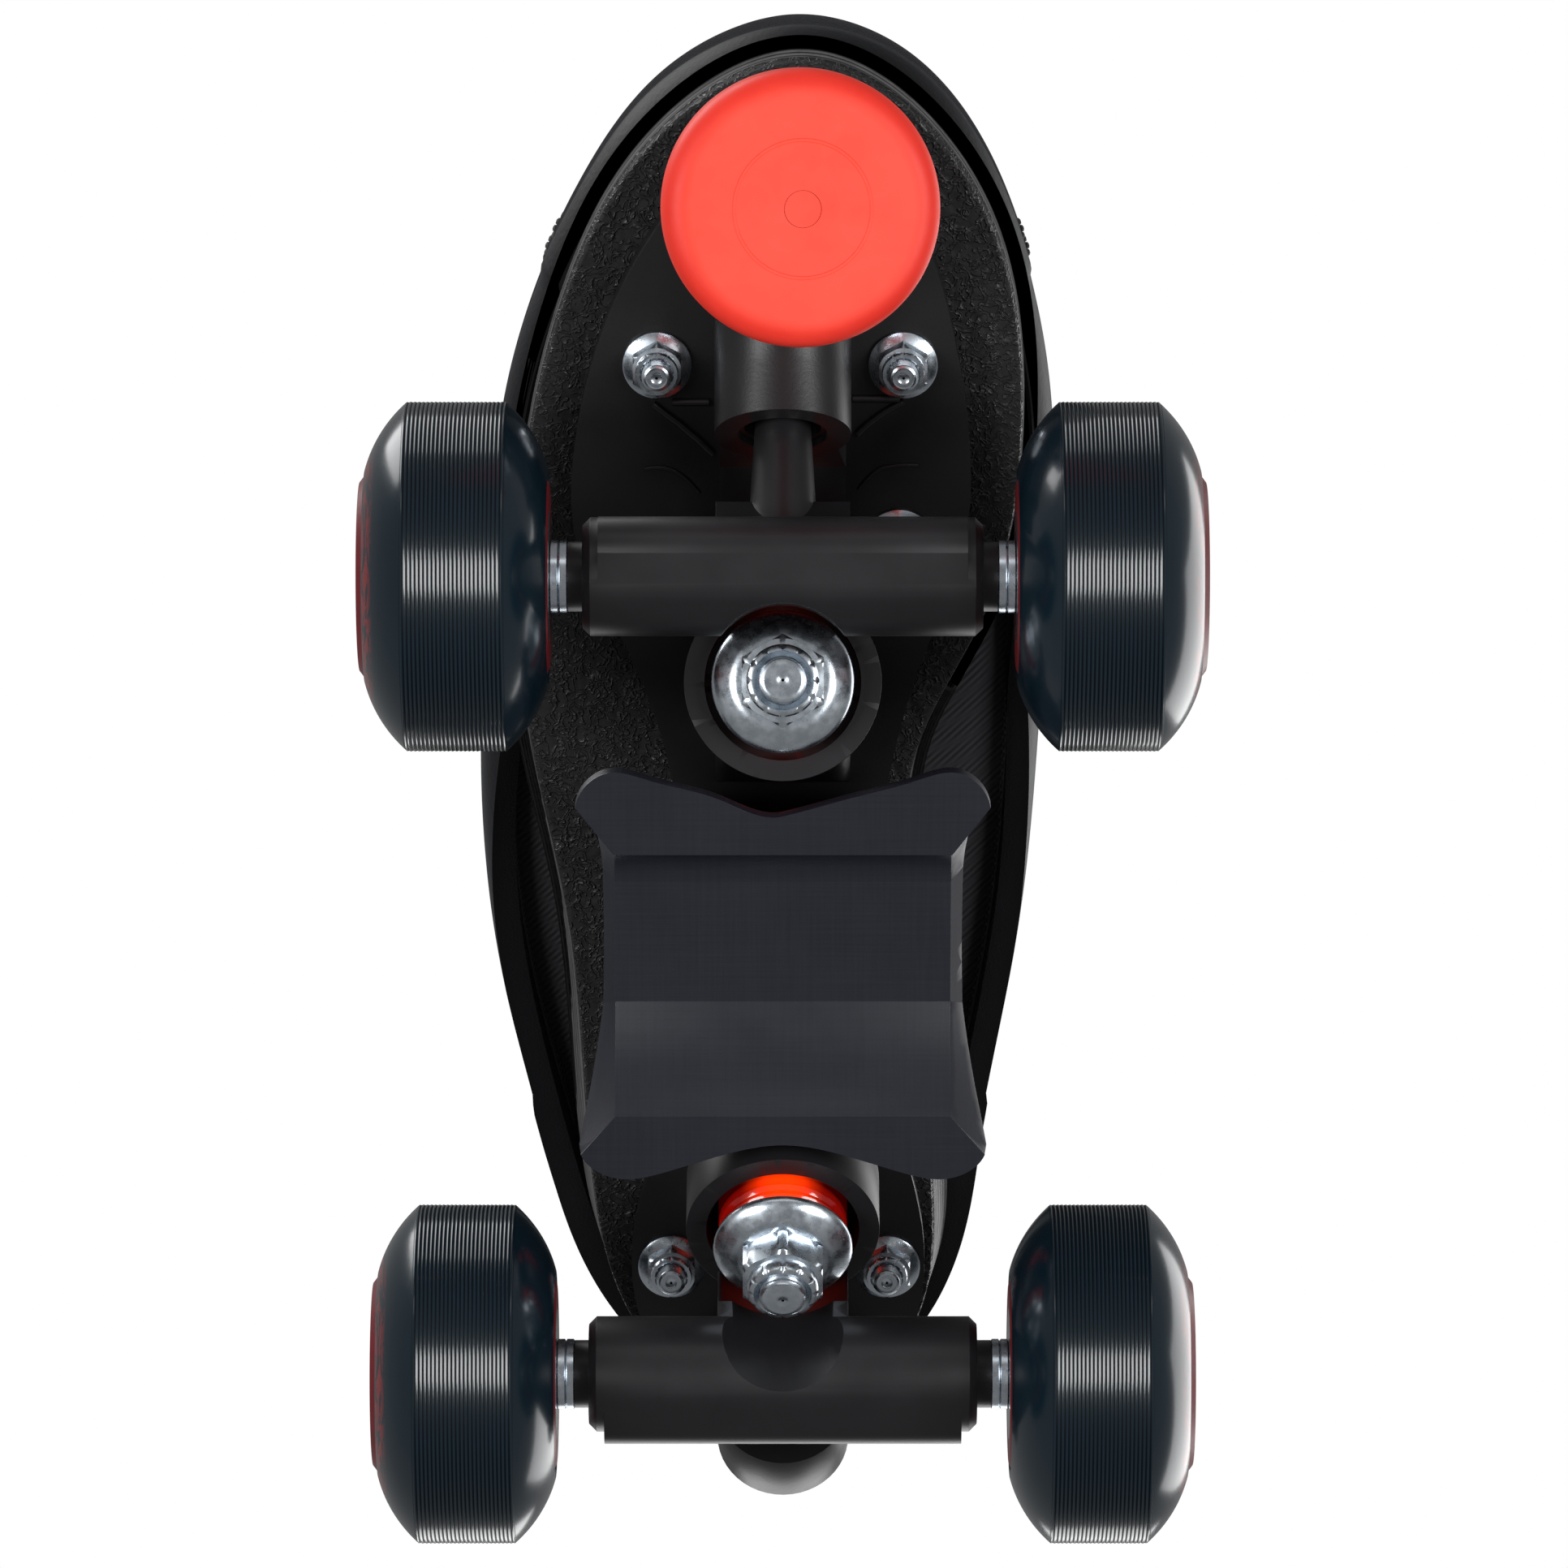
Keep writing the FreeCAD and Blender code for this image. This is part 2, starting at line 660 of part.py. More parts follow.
def rounded_boss(name, points, half_width):
    """A block under the plate whose lower long edges are rounded."""
    corners = [Vector(-half_width, y, z) for y, z in points]
    block = Part.Face(Part.makePolygon(corners + corners[:1])).extrude(Vector(2 * half_width, 0, 0))
    lowest = sorted(z for _, z in points)[:2]
    edges = [edge for edge in block.Edges
             if abs(edge.Vertexes[0].X - edge.Vertexes[1].X) < 0.001
             and all(any(abs(vertex.Z - z) < 0.001 for z in lowest) for vertex in edge.Vertexes)]
    return solid(name, block.makeFillet(dim("kingpin_boss_round"), edges))


# The spine under the toe and heel: where its tube begins, and where it meets the pivot sleeve.
SPINE_ENDS = {FRONT: ((0, -130.5, 66.5), (0, -97.0, 60.0)), REAR: ((0, 95.5, 67.0), (0, 95.0, 60.0))}
SLEEVE_BACK = 3.5
SLEEVE_MOUTH = 9.2


def spine(end):
    """The rounded spine with the pivot cup's sleeve, filled up to the flange."""
    label = "plate_" + END_NAME[end]
    half = dim("spine_half_width") - 0.9
    tube = tube_between(label + "_spine", "spine_round", *SPINE_ENDS[end])
    down = pivot_pin_down(end)
    back = pivot_tip(end) - down * SLEEVE_BACK
    sleeve = cylinder(label + "_sleeve", "spine_round", SLEEVE_BACK + SLEEVE_MOUTH, back, down)
    far_end = SPINE_ENDS[end][0][1]
    filling = [(far_end, dim("plate_bottom") + 1), (far_end, 66.5), (end * 97.0, 60.0), (end * 86.0, 60.5),
               (end * 78.0, 64.0), (end * 58.0, 66.0), (end * 56.0, dim("plate_bottom") + 1)]
    return [tube, sleeve, side_prism(label + "_filling", filling, half)]


def make_plate():
    """The moulded nylon plate: flange, spine, toe stop boss, kingpin bosses and pivot sleeves."""
    thickness = dim("plate_top") - dim("plate_bottom")
    flange = Part.Face(plan_wire(PLATE_OUTLINE, dim("plate_bottom"))).extrude(Vector(0, 0, thickness))
    pieces = [solid("plate_flange", flange)]
    pieces.append(cylinder("plate_stem_boss", STEM_BOSS_RADIUS, 24.0, stem_spot(42.0), stem_down() * -1))
    tools = []
    top = dim("plate_bottom") + 1.0
    for end in ENDS:
        label = "plate_" + END_NAME[end]
        pieces += spine(end)
        boss_points = [(end * 54.0, top), (end * 52.4, 69.2), (end * 26.2, 59.2), (end * 23.2, 62.0),
                       (end * 19.5, top)]
        pieces.append(rounded_boss(label + "_kingpin_boss", boss_points, dim("spine_half_width")))
        tools.append(cylinder(label + "_kingpin_hole", "kingpin_radius + 0.05", 40,
                              station(end, dim("seat_station") - 5), kingpin_up(end)))
        tools.append(cylinder(label + "_kingpin_pocket", KINGPIN_HEAD_RADIUS + 0.1, 20,
                              station(end, KINGPIN_HEAD), kingpin_up(end)))
        tools.append(cylinder(label + "_washer_seat", "upper_cushion_radius + 1.2", 20,
                              station(end, dim("seat_station") - 20), kingpin_up(end)))
        back = pivot_tip(end) - pivot_pin_down(end) * CUP_BACK
        tools.append(cylinder(label + "_pivot_hole", f"pivot_tip_radius + {CUP_WALL}", 30, back,
                              pivot_pin_down(end)))
    low = dim("plate_bottom") - 30
    reach = dim("plate_top") - low + 10
    for count, (x, y) in enumerate(MOUNT_POINTS):
        tools.append(cylinder(f"plate_hole_{count}", "mount_bolt_radius + 0.05", reach, chassis(x, y, low)))
        tools.append(cylinder(f"plate_spotface_{count}", "mount_flange_radius + 0.8", 12,
                              chassis(x, y, dim("plate_bottom") - 12)))
    for count, (x, y) in enumerate(BLOCK_SCREWS):
        tools.append(cylinder(f"plate_screw_hole_{count}", BLOCK_SCREW_RADIUS + 0.05, reach,
                              chassis(x, y, low)))
        tools.append(cylinder(f"plate_screw_pocket_{count}", BLOCK_SCREW_HEAD + 0.1, 10,
                              chassis(x, y, dim("plate_top") - BLOCK_SCREW_SINK - 0.1)))
    tools.append(cylinder("plate_stem_hole", "stem_radius + 0.05", 30, stem_spot(38.0), stem_down() * -1))
    sole_clear = doc.addObject("Part::Box", "plate_sole_clear")
    set_sizes(sole_clear, Length=90, Width=280, Height=30)
    sole_clear.Placement = Placement(chassis(-45, -150, dim("plate_top")), Rotation())
    tools.append(sole_clear)
    return cut("plate", fuse("plate_body", pieces), tools)


def flange_nut(name, x, y):
    down = UP * -1
    base = chassis(x, y, dim("plate_bottom"))
    body = fuse(name + "_body", [
        cylinder(name + "_flange", "mount_flange_radius", 1.3, base, down),
        hexagon(name + "_hex", "mount_nut_flats", "mount_nut_height", base, down),
    ])
    bore = cylinder(name + "_bore", "mount_bolt_radius + 0.02", 10, base + UP, down)
    return cut(name, body, [bore])


def make_mount_nuts():
    return group("mount_flange_nuts", [flange_nut(f"mount_nut_{count}", x, y)
                                       for count, (x, y) in enumerate(MOUNT_POINTS)])


FLOOR_LINE = [(-160.0, 83.0), (-32.0, 83.0), (58.0, 98.0), (120.0, 99.0)]


def floor_height(y):
    """The top of the midsole, which rises from the arch to the heel."""
    for (y0, z0), (y1, z1) in zip(FLOOR_LINE, FLOOR_LINE[1:]):
        if y <= y1:
            return z0 + (z1 - z0) * (y - y0) / (y1 - y0)
    return FLOOR_LINE[-1][1]


def head_height(y):
    """The bolt heads sink into the midsole, just under the insole."""
    return floor_height(y) - dim("mount_head_height") - 1.3


def make_mount_bolts():
    bolts = []
    tip = dim("plate_bottom") - dim("mount_nut_height") - dim("mount_bolt_reach")
    for count, (x, y) in enumerate(MOUNT_POINTS):
        label = f"mount_bolt_{count}"
        head = head_height(y)
        bolts.append(fuse(label, [
            cylinder(label + "_shank", "mount_bolt_radius", head - tip + 0.5, chassis(x, y, tip)),
            cylinder(label + "_head", "mount_head_radius", "mount_head_height", chassis(x, y, head)),
        ]))
    return group("mount_bolts", bolts)


def make_block_screws():
    screws = []
    tip = dim("plate_top") - BLOCK_SCREW_REACH
    head = dim("plate_top") - BLOCK_SCREW_SINK
    for count, (x, y) in enumerate(BLOCK_SCREWS):
        label = f"block_screw_{count}"
        screws.append(fuse(label, [
            cylinder(label + "_shank", BLOCK_SCREW_RADIUS, head - tip + 1.3, chassis(x, y, tip)),
            cylinder(label + "_head", BLOCK_SCREW_HEAD, BLOCK_SCREW_HEAD_HEIGHT, chassis(x, y, head)),
        ]))
    return group("slide_block_screws", screws)


def make_toe_stop():
    """The rubber stop: a short tapered drum with a round rim, hollow where its steel disc sits."""
    disc_top = DISC_HEIGHT + DISC_THICKNESS
    return turned("toe_stop", [
        (STOP_HOLE_RADIUS, 0.02),
        ("stop_radius", 0.02),
        ("stop_radius", 8.0),
        ("stop_back_radius", "stop_height"),
        ("stem_radius + 0.05", "stop_height"),
        ("stem_radius + 0.05", disc_top),
        (DISC_RADIUS + 0.05, disc_top),
        (DISC_RADIUS + 0.05, DISC_HEIGHT),
        (STOP_HOLE_RADIUS, DISC_HEIGHT),
    ], stem_spot(0), stem_down() * -1, ("stop_rim_fillet", dim("stop_radius")))


def make_stop_plug():
    """The plug that fills the moulding hole in the middle of the stop's face."""
    return cylinder("toe_stop_plug", STOP_HOLE_RADIUS - 0.05, DISC_HEIGHT - 0.4, stem_spot(0.2),
                    stem_down() * -1)


def make_stem():
    """The threaded stem and the disc that is moulded into the rubber."""
    return fuse("toe_stop_stem", [
        cylinder("stem_disc", DISC_RADIUS, DISC_THICKNESS, stem_spot(DISC_HEIGHT), stem_down() * -1),
        cylinder("stem_rod", "stem_radius", STEM_LENGTH, stem_spot(DISC_HEIGHT), stem_down() * -1),
    ])


def make_stem_nut():
    name = "toe_stop_lock_nut"
    body = hexagon(name + "_hex", STEM_NUT_FLATS, STEM_NUT_THICKNESS, stem_spot(STEM_NUT_HEIGHT),
                   stem_down() * -1)
    bore = cylinder(name + "_bore", "stem_radius + 0.02", STEM_NUT_THICKNESS + 2,
                    stem_spot(STEM_NUT_HEIGHT - 1), stem_down() * -1)
    return cut(name, body, [bore])


# ---------------------------------------------------------------- slide block

# Bottom outline of the block from the middle of its front edge, medial side.
BLOCK_HALF_OUTLINE = [
    (10.8, -31.4), (22.0, -34.6), (29.0, -35.9), (33.4, -32.4), (34.4, -25.0), (33.9, 0.0), (34.5, 26.0),
    (33.2, 33.2), (28.0, 36.4), (20.0, 35.4), (12.0, 32.8),
]
BLOCK_NOTCHES = [(0.0, -28.3), (0.0, 30.4)]
GROOVE_HALF = 28.2


def groove_wire(x, y_front, y_rear, lip, top, front_round, rear_flat):
    """The slide groove's section: a steep front wall, a flat top and a long rear wall.

    The rear wall is an arc that meets the flat top at an angle.
    """
    below = dim("block_bottom") - 8
    corner = 1 - math.sqrt(0.5)
    front_mid = Vector(x, y_front + front_round * corner, top - (top - lip) * corner)
    rear_span = y_rear - rear_flat
    rear_mid = Vector(x, rear_flat + 0.54 * rear_span, top - 0.40 * (top - lip))
    start, front_top = Vector(x, y_front, lip), Vector(x, y_front + front_round, top)
    rear_top, end = Vector(x, rear_flat, top), Vector(x, y_rear, lip)
    low_front, low_rear = Vector(x, y_front, below), Vector(x, y_rear, below)
    edges = [
        Part.LineSegment(low_front, start).toShape(),
        Part.Arc(start, front_mid, front_top).toShape(),
        Part.LineSegment(front_top, rear_top).toShape(),
        Part.Arc(rear_top, rear_mid, end).toShape(),
        Part.LineSegment(end, low_rear).toShape(),
        Part.LineSegment(low_rear, low_front).toShape(),
    ]
    return Part.Wire(edges)


def make_slide_block():
    """The machined block between the trucks, wider at its foot, with a groove from side to side."""
    medial = BLOCK_HALF_OUTLINE
    lateral = [(-x, y) for x, y in reversed(medial)]
    outline = [BLOCK_NOTCHES[0]] + medial + [BLOCK_NOTCHES[1]] + lateral
    foot = plan_wire(outline, dim("block_bottom"))
    rim = plan_wire(outline, dim("block_rim_top"))
    head = plan_wire([(x * 0.60, y * 0.45) for x, y in outline], dim("plate_bottom"))
    rim_band = Part.Face(foot).extrude(Vector(0, 0, dim("block_rim_top") - dim("block_bottom")))
    flare = Part.makeLoft([rim, head], True, True)
    lip, top = dim("block_bottom"), dim("groove_top")
    groove = Part.Face(groove_wire(-GROOVE_HALF, -21.5, 25.2, lip, top, 9.0, 8.9))
    tools = [groove.extrude(Vector(2 * GROOVE_HALF, 0, 0))]
    for side in SIDES:
        inner = groove_wire(side * (GROOVE_HALF - 0.2), -21.5, 25.2, lip, top, 9.0, 8.9)
        outer = groove_wire(side * 37.0, -33.5, 36.0, lip + 1.0, top + 10.5, 13.0, 14.0)
        tools.append(Part.makeLoft([inner, outer], True, True))
    body = rim_band.fuse(flare).removeSplitter()
    for tool in tools:
        body = body.cut(tool)
    block = solid("slide_block_body", body)
    clear = [cylinder(f"block_clear_{END_NAME[end]}", "ring_radius + 2.2", 50, station(end, -10),
                      kingpin_up(end))
             for end in ENDS]
    tip = dim("plate_top") - BLOCK_SCREW_REACH
    holes = [cylinder(f"block_hole_{count}", BLOCK_SCREW_RADIUS + 0.02, 20, chassis(x, y, tip))
             for count, (x, y) in enumerate(BLOCK_SCREWS)]
    return cut("slide_block", block, clear + holes)


# ---------------------------------------------------------------- boot

# Outline of the foot at its widest level: toe, lateral side, heel, medial side.
FOOT_OUTLINE = [
    (2.7, -147.7), (-14.9, -142.0), (-27.4, -130.0), (-38.5, -110.0), (-46.3, -87.0), (-51.0, -40.0),
    (-49.9, 11.0), (-41.0, 56.8), (-29.6, 88.0), (0.0, 108.0), (25.8, 88.0), (33.6, 56.8), (40.8, 11.0),
    (44.4, -38.0), (45.6, -84.0), (40.3, -110.0), (31.3, -130.0), (20.0, -142.0),
]
FOOT_TOE, FOOT_HEEL = -147.7, 108.0

# (height, front, back, width scale, how far the section has become an oval, oval half width)
UPPER_LEVELS = [
    (80.0, -140.5, 100.0, 0.88, 0.0, 30.0),
    (86.0, -144.6, 104.5, 0.965, 0.0, 30.0),
    (95.0, -146.5, 107.8, 1.0, 0.0, 30.0),
    (108.0, -143.2, 109.0, 0.97, 0.05, 33.0),
    (121.0, -136.5, 109.0, 0.88, 0.2, 34.0),
    (133.0, -120.0, 108.0, 0.82, 0.45, 35.0),
    (146.0, -92.0, 106.0, 0.82, 0.7, 36.5),
    (162.0, -62.0, 103.0, 0.82, 0.9, 38.0),
    (182.0, -37.0, 100.0, 0.82, 1.0, 39.5),
    (204.0, -24.0, 100.5, 0.82, 1.0, 41.5),
    (226.0, -21.0, 104.0, 0.82, 1.0, 43.5),
    (250.0, -24.0, 108.0, 0.82, 1.0, 45.0),
]


def upper_section(level, inset):
    """The boot's outline at one level, drawn in by inset all round."""
    height, front, back, scale, oval, oval_half = level
    front += inset
    back -= inset
    shrink = max(0.0, 1 - inset / 44.0)
    points = []
    for x, y in FOOT_OUTLINE:
        part = (y - FOOT_TOE) / (FOOT_HEEL - FOOT_TOE)
        side = -1 if x < 0 else 1
        oval_x = side * (oval_half - inset) * math.sqrt(max(0.0, 1 - (2 * part - 1) ** 2))
        foot_x = x * scale * shrink
        points.append((foot_x * (1 - oval) + oval_x * oval, front + (back - front) * part))
    return plan_wire(points, height)


def boot_loft(inset, first=0, last=len(UPPER_LEVELS)):
    return Part.makeLoft([upper_section(level, inset) for level in UPPER_LEVELS[first:last]], True, False)


def slab(points, half_width):
    """A plain prism with a (y, z) outline across the boot."""
    corners = [Vector(-half_width, y, z) for y, z in points]
    return Part.Face(Part.makePolygon(corners + corners[:1])).extrude(Vector(2 * half_width, 0, 0))


BOOT_HALF = 70.0
PADDING = 6.5
TONGUE_HALF = 22.0
INSOLE_THICKNESS = 4.0
BELOW_FLOOR = [(-170.0, 60.0), (-170.0, 83.0)] + FLOOR_LINE[1:] + [(130.0, 99.0), (130.0, 60.0)]
CUFF_REGION = [(-170.0, 60.0), (-170.0, 240.0), (-60.0, 232.0), (8.0, 226.0), (60.0, 216.0), (130.0, 224.0),
               (130.0, 60.0)]
THROAT = [(-130.0, 146.0), (-84.0, 146.0), (-60.0, 153.0), (-30.0, 177.0), (-8.0, 211.0), (-2.0, 260.0),
          (-130.0, 260.0)]
THROAT_HALF = 15.0


def make_upper():
    """The boot's outer shell, open at the cuff and down the throat, standing on the midsole."""
    shell = boot_loft(0.0).cut(boot_loft(dim("upper_wall")))
    shell = shell.common(slab(CUFF_REGION, BOOT_HALF))
    shell = shell.cut(slab(BELOW_FLOOR, BOOT_HALF))
    return solid("boot_upper", shell.cut(slab(THROAT, THROAT_HALF)))


def make_tongue():
    """The padded tongue: a layer inside the shell that fills the throat and stands above the cuff."""
    layer = boot_loft(dim("upper_wall") + 0.4).cut(boot_loft(dim("upper_wall") + PADDING + 0.5))
    region = [(-92.0, 125.0), (-62.0, 132.0), (-12.0, 178.0), (4.0, 215.0), (8.0, 238.0), (-60.0, 246.0),
              (-120.0, 200.0)]
    return solid("tongue", layer.common(slab(region, TONGUE_HALF)))


def make_collar():
    """The padded lining round the ankle, behind the tongue."""
    layer = boot_loft(dim("upper_wall") + 0.1).cut(boot_loft(dim("upper_wall") + PADDING))
    region = [(6.0, 172.0), (20.0, 221.0), (60.0, 213.0), (130.0, 221.0), (130.0, 168.0)]
    return solid("collar_lining", layer.common(slab(region, BOOT_HALF)))


SOLE_OUTLINE = [
    (3.2, -144.2), (-20.0, -132.2), (-36.9, -101.7), (-43.4, -72.0), (-41.9, -20.0), (-36.6, 8.0),
    (-32.6, 58.0), (-25.0, 84.0), (0.0, 101.0), (22.5, 84.0), (25.8, 58.0), (22.5, 18.0),
    (23.0, -24.0), (33.8, -47.0), (40.0, -84.0), (30.0, -125.2),
]
SOLE_GROWTH = 3.0


def grown(points, growth, centre=(0.0, -25.0)):
    """An outline moved outward by about growth."""
    result = []
    for x, y in points:
        away = Vector(x - centre[0], (y - centre[1]) * 0.6, 0).normalize()
        result.append((x + growth * away.x, y + growth * away.y))
    return result


def with_bolt_holes(shape):
    for x, y in MOUNT_POINTS:
        reach = dim("mount_bolt_radius") + 0.05
        shape = shape.cut(Part.makeCylinder(reach, 60, Vector(x, y, 60)))
        shape = shape.cut(Part.makeCylinder(dim("mount_head_radius") + 0.1, 30, Vector(x, y, head_height(y))))
    return shape


def make_outsole():
    thickness = dim("outsole_top") - dim("plate_top")
    sheet_solid = Part.Face(plan_wire(SOLE_OUTLINE, dim("plate_top"))).extrude(Vector(0, 0, thickness))
    return solid("outsole", with_bolt_holes(sheet_solid))


def make_midsole():
    """The layered midsole and heel, wider at its top than at its foot."""
    low = plan_wire(SOLE_OUTLINE, dim("outsole_top"))
    high = plan_wire(grown(SOLE_OUTLINE, SOLE_GROWTH), 100.0)
    body = Part.makeLoft([low, high], True, True).common(slab(BELOW_FLOOR, BOOT_HALF))
    return solid("midsole", with_bolt_holes(body))


def make_insole():
    """The footbed inside the shell, on the midsole."""
    raised = [(y, z + INSOLE_THICKNESS) for y, z in BELOW_FLOOR]
    body = boot_loft(dim("upper_wall") + 0.4, 0, 5).common(slab(raised, BOOT_HALF))
    return solid("insole", body.cut(slab(BELOW_FLOOR, BOOT_HALF)))


# The lace crosses the throat at these heights, between eyelets this far from the middle.
LACE_HEIGHTS = [151.0, 159.0, 168.0, 178.0, 189.0, 201.0, 213.0]
EYELET_X = 19.5
LACE_RADIUS = 1.9
LACE_CLEARANCE = 4.9


def make_laces():
    """The crossings of the lace over the tongue, each held at both ends by its eyelets."""
    outside = boot_loft(0.0)

    def boot_front(x, height):
        ray = Part.makeLine(Vector(x, -200, height), Vector(x, 30, height)).common(outside)
        return min(vertex.Y for vertex in ray.Vertexes)

    crossings = []
    for height in LACE_HEIGHTS:
        end_y = max(boot_front(side * EYELET_X, height) for side in SIDES) - LACE_RADIUS - LACE_CLEARANCE
        middle_y = min(boot_front(0, height) - 1.0, end_y - 5.0)
        start, finish = Vector(-EYELET_X, end_y, height), Vector(EYELET_X, end_y, height)
        path = Part.Arc(start, Vector(0, middle_y, height), finish).toShape()
        section = Part.Wire(Part.Circle(start, path.tangentAt(path.FirstParameter), LACE_RADIUS).toShape())
        crossings.append(Part.Wire(path).makePipeShell([section], True, False))
    return solid("laces", Part.makeCompound(crossings))


HEEL_TAB_HALF = 9.0


def make_heel_tab():
    """The pull tab at the back of the cuff."""
    points = [(100.9, 192.0), (103.2, 192.0), (103.8, 204.0), (107.2, 225.0), (107.2, 235.0), (104.0, 239.0),
              (100.0, 238.0), (98.4, 233.0), (98.6, 224.8), (100.6, 224.8), (100.6, 232.0), (102.6, 236.0),
              (104.8, 234.0), (104.8, 225.4), (101.4, 204.2)]
    return side_prism("heel_tab", points, HEEL_TAB_HALF)


# ---------------------------------------------------------------- build, check and write

nodes = []
for end in ENDS:
    for side in SIDES:
        nodes += [make_tyre(end, side), make_core(end, side), make_outer_races(end, side)]
    nodes += [make_inner_races(end), make_bearing_spacers(end), make_speed_rings(end), make_axle(end),
              make_axle_nuts(end), make_hanger(end), make_lower_cushion(end), make_upper_cushion(end),
              make_lower_cup_washer(end), make_upper_cup_washer(end), make_kingpin(end),
              make_kingpin_nut(end), make_pivot_cup(end)]
nodes += [make_plate(), make_mount_nuts(), make_mount_bolts(), make_block_screws(), make_slide_block(),
          make_toe_stop(), make_stop_plug(), make_stem(), make_stem_nut(),
          make_outsole(), make_midsole(), make_insole()]
nodes += [make_upper(), make_tongue(), make_collar(), make_laces(), make_heel_tab()]

doc.recompute()
for item in doc.Objects:
    if "Invalid" in item.State or "Error" in item.State:
        raise RuntimeError(f"{item.Name} failed: {item.State}")
for node in nodes:
    if node.Shape.isNull() or not node.Shape.isValid() or not node.Shape.Solids:
        raise RuntimeError(f"{node.Name} has no valid shape")
    node.Label = node.Name
    node.Shape.exportStep(os.path.join("parts", node.Label + ".step"))
    print(f"{node.Label}: {len(node.Shape.Solids)} solids, {node.Shape.Volume / 1000:.2f} cm3")
print(len(nodes), "nodes")
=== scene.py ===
import json
import math

import bmesh
import bpy
import numpy as np
from mathutils import Matrix, Vector, noise


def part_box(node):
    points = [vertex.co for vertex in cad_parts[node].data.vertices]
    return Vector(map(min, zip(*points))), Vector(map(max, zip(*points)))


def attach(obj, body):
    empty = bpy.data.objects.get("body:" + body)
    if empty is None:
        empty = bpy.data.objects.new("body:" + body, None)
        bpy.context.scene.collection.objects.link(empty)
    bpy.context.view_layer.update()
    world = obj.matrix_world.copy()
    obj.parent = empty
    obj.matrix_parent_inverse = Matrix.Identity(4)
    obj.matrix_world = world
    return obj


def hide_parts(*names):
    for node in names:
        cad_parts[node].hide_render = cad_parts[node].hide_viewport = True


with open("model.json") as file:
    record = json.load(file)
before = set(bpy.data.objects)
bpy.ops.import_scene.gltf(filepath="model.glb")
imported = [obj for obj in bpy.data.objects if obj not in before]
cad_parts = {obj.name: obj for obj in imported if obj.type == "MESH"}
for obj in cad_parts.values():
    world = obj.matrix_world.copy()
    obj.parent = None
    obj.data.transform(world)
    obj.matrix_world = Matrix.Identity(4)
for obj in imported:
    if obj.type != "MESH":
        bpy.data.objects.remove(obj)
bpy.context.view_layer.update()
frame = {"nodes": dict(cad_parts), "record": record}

# Blender seeds its vector noise from the clock; a fixed seed gives the same wrinkles in each run.
NOISE_SEED = 7
noise.seed_set(NOISE_SEED)

# Lengths are in millimetres in "chassis" coordinates, whose Y starts halfway between the two axles.
# place() turns them into metres in the frame.
MM = 0.001
FRONT, REAR = -1, 1
ENDS = {FRONT: "front", REAR: "rear"}
SIDES = {-1: "left", 1: "right"}
BOOT_BODY = "chassis_and_boot"


def middle(node):
    low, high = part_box(node)
    return (Vector(low) + Vector(high)) / 2


MID_Y = (middle("axle_front").y + middle("axle_rear").y) / 2


def place(x, y, z):
    return Vector((x * MM, y * MM + MID_Y, z * MM))


# ---------------------------------------------------------------- camera, stage and light

CAMERA_PITCH = math.radians(20.5)
CAMERA_SPOT = (0.2, -558.07, -1370.54)
FOCAL_LENGTH = 208.7
SENSOR_WIDTH = 36.0


def make_camera():
    """The skate is seen from underneath with its toe up, through a long lens."""
    data = bpy.data.cameras.new("camera")
    data.lens = FOCAL_LENGTH
    data.sensor_width = SENSOR_WIDTH
    data.clip_start = 0.05
    data.clip_end = 20.0
    camera = bpy.data.objects.new("camera", data)
    across = Vector((1, 0, 0))
    up = Vector((0, -math.cos(CAMERA_PITCH), math.sin(CAMERA_PITCH)))
    back = Vector((0, -math.sin(CAMERA_PITCH), -math.cos(CAMERA_PITCH)))
    turn = Matrix((across, up, back)).transposed()
    camera.matrix_world = Matrix.Translation(place(*CAMERA_SPOT)) @ turn.to_4x4()
    bpy.context.scene.collection.objects.link(camera)
    bpy.context.scene.camera = camera


def make_light(name, spot, target, size, power):
    data = bpy.data.lights.new(name, "AREA")
    data.shape = "RECTANGLE"
    data.size, data.size_y = size
    data.energy = power
    light = bpy.data.objects.new(name, data)
    light.location = spot
    light.rotation_euler = (Vector(target) - Vector(spot)).to_track_quat("-Z", "Y").to_euler()
    bpy.context.scene.collection.objects.link(light)


WORLD_LIGHT = 0.22


def make_world():
    """A white backdrop, whose light on the skate is dimmer than it looks."""
    world = bpy.data.worlds.new("studio")
    bpy.context.scene.world = world
    world.use_nodes = True
    tree = world.node_tree
    background = tree.nodes["Background"]
    background.inputs["Color"].default_value = (1, 1, 1, 1)
    path = tree.nodes.new("ShaderNodeLightPath")
    strength = tree.nodes.new("ShaderNodeMapRange")
    strength.inputs["To Min"].default_value = WORLD_LIGHT
    strength.inputs["To Max"].default_value = 1.0
    tree.links.new(path.outputs["Is Camera Ray"], strength.inputs["Value"])
    tree.links.new(strength.outputs["Result"], background.inputs["Strength"])


FLOOR_HALF = 3.0


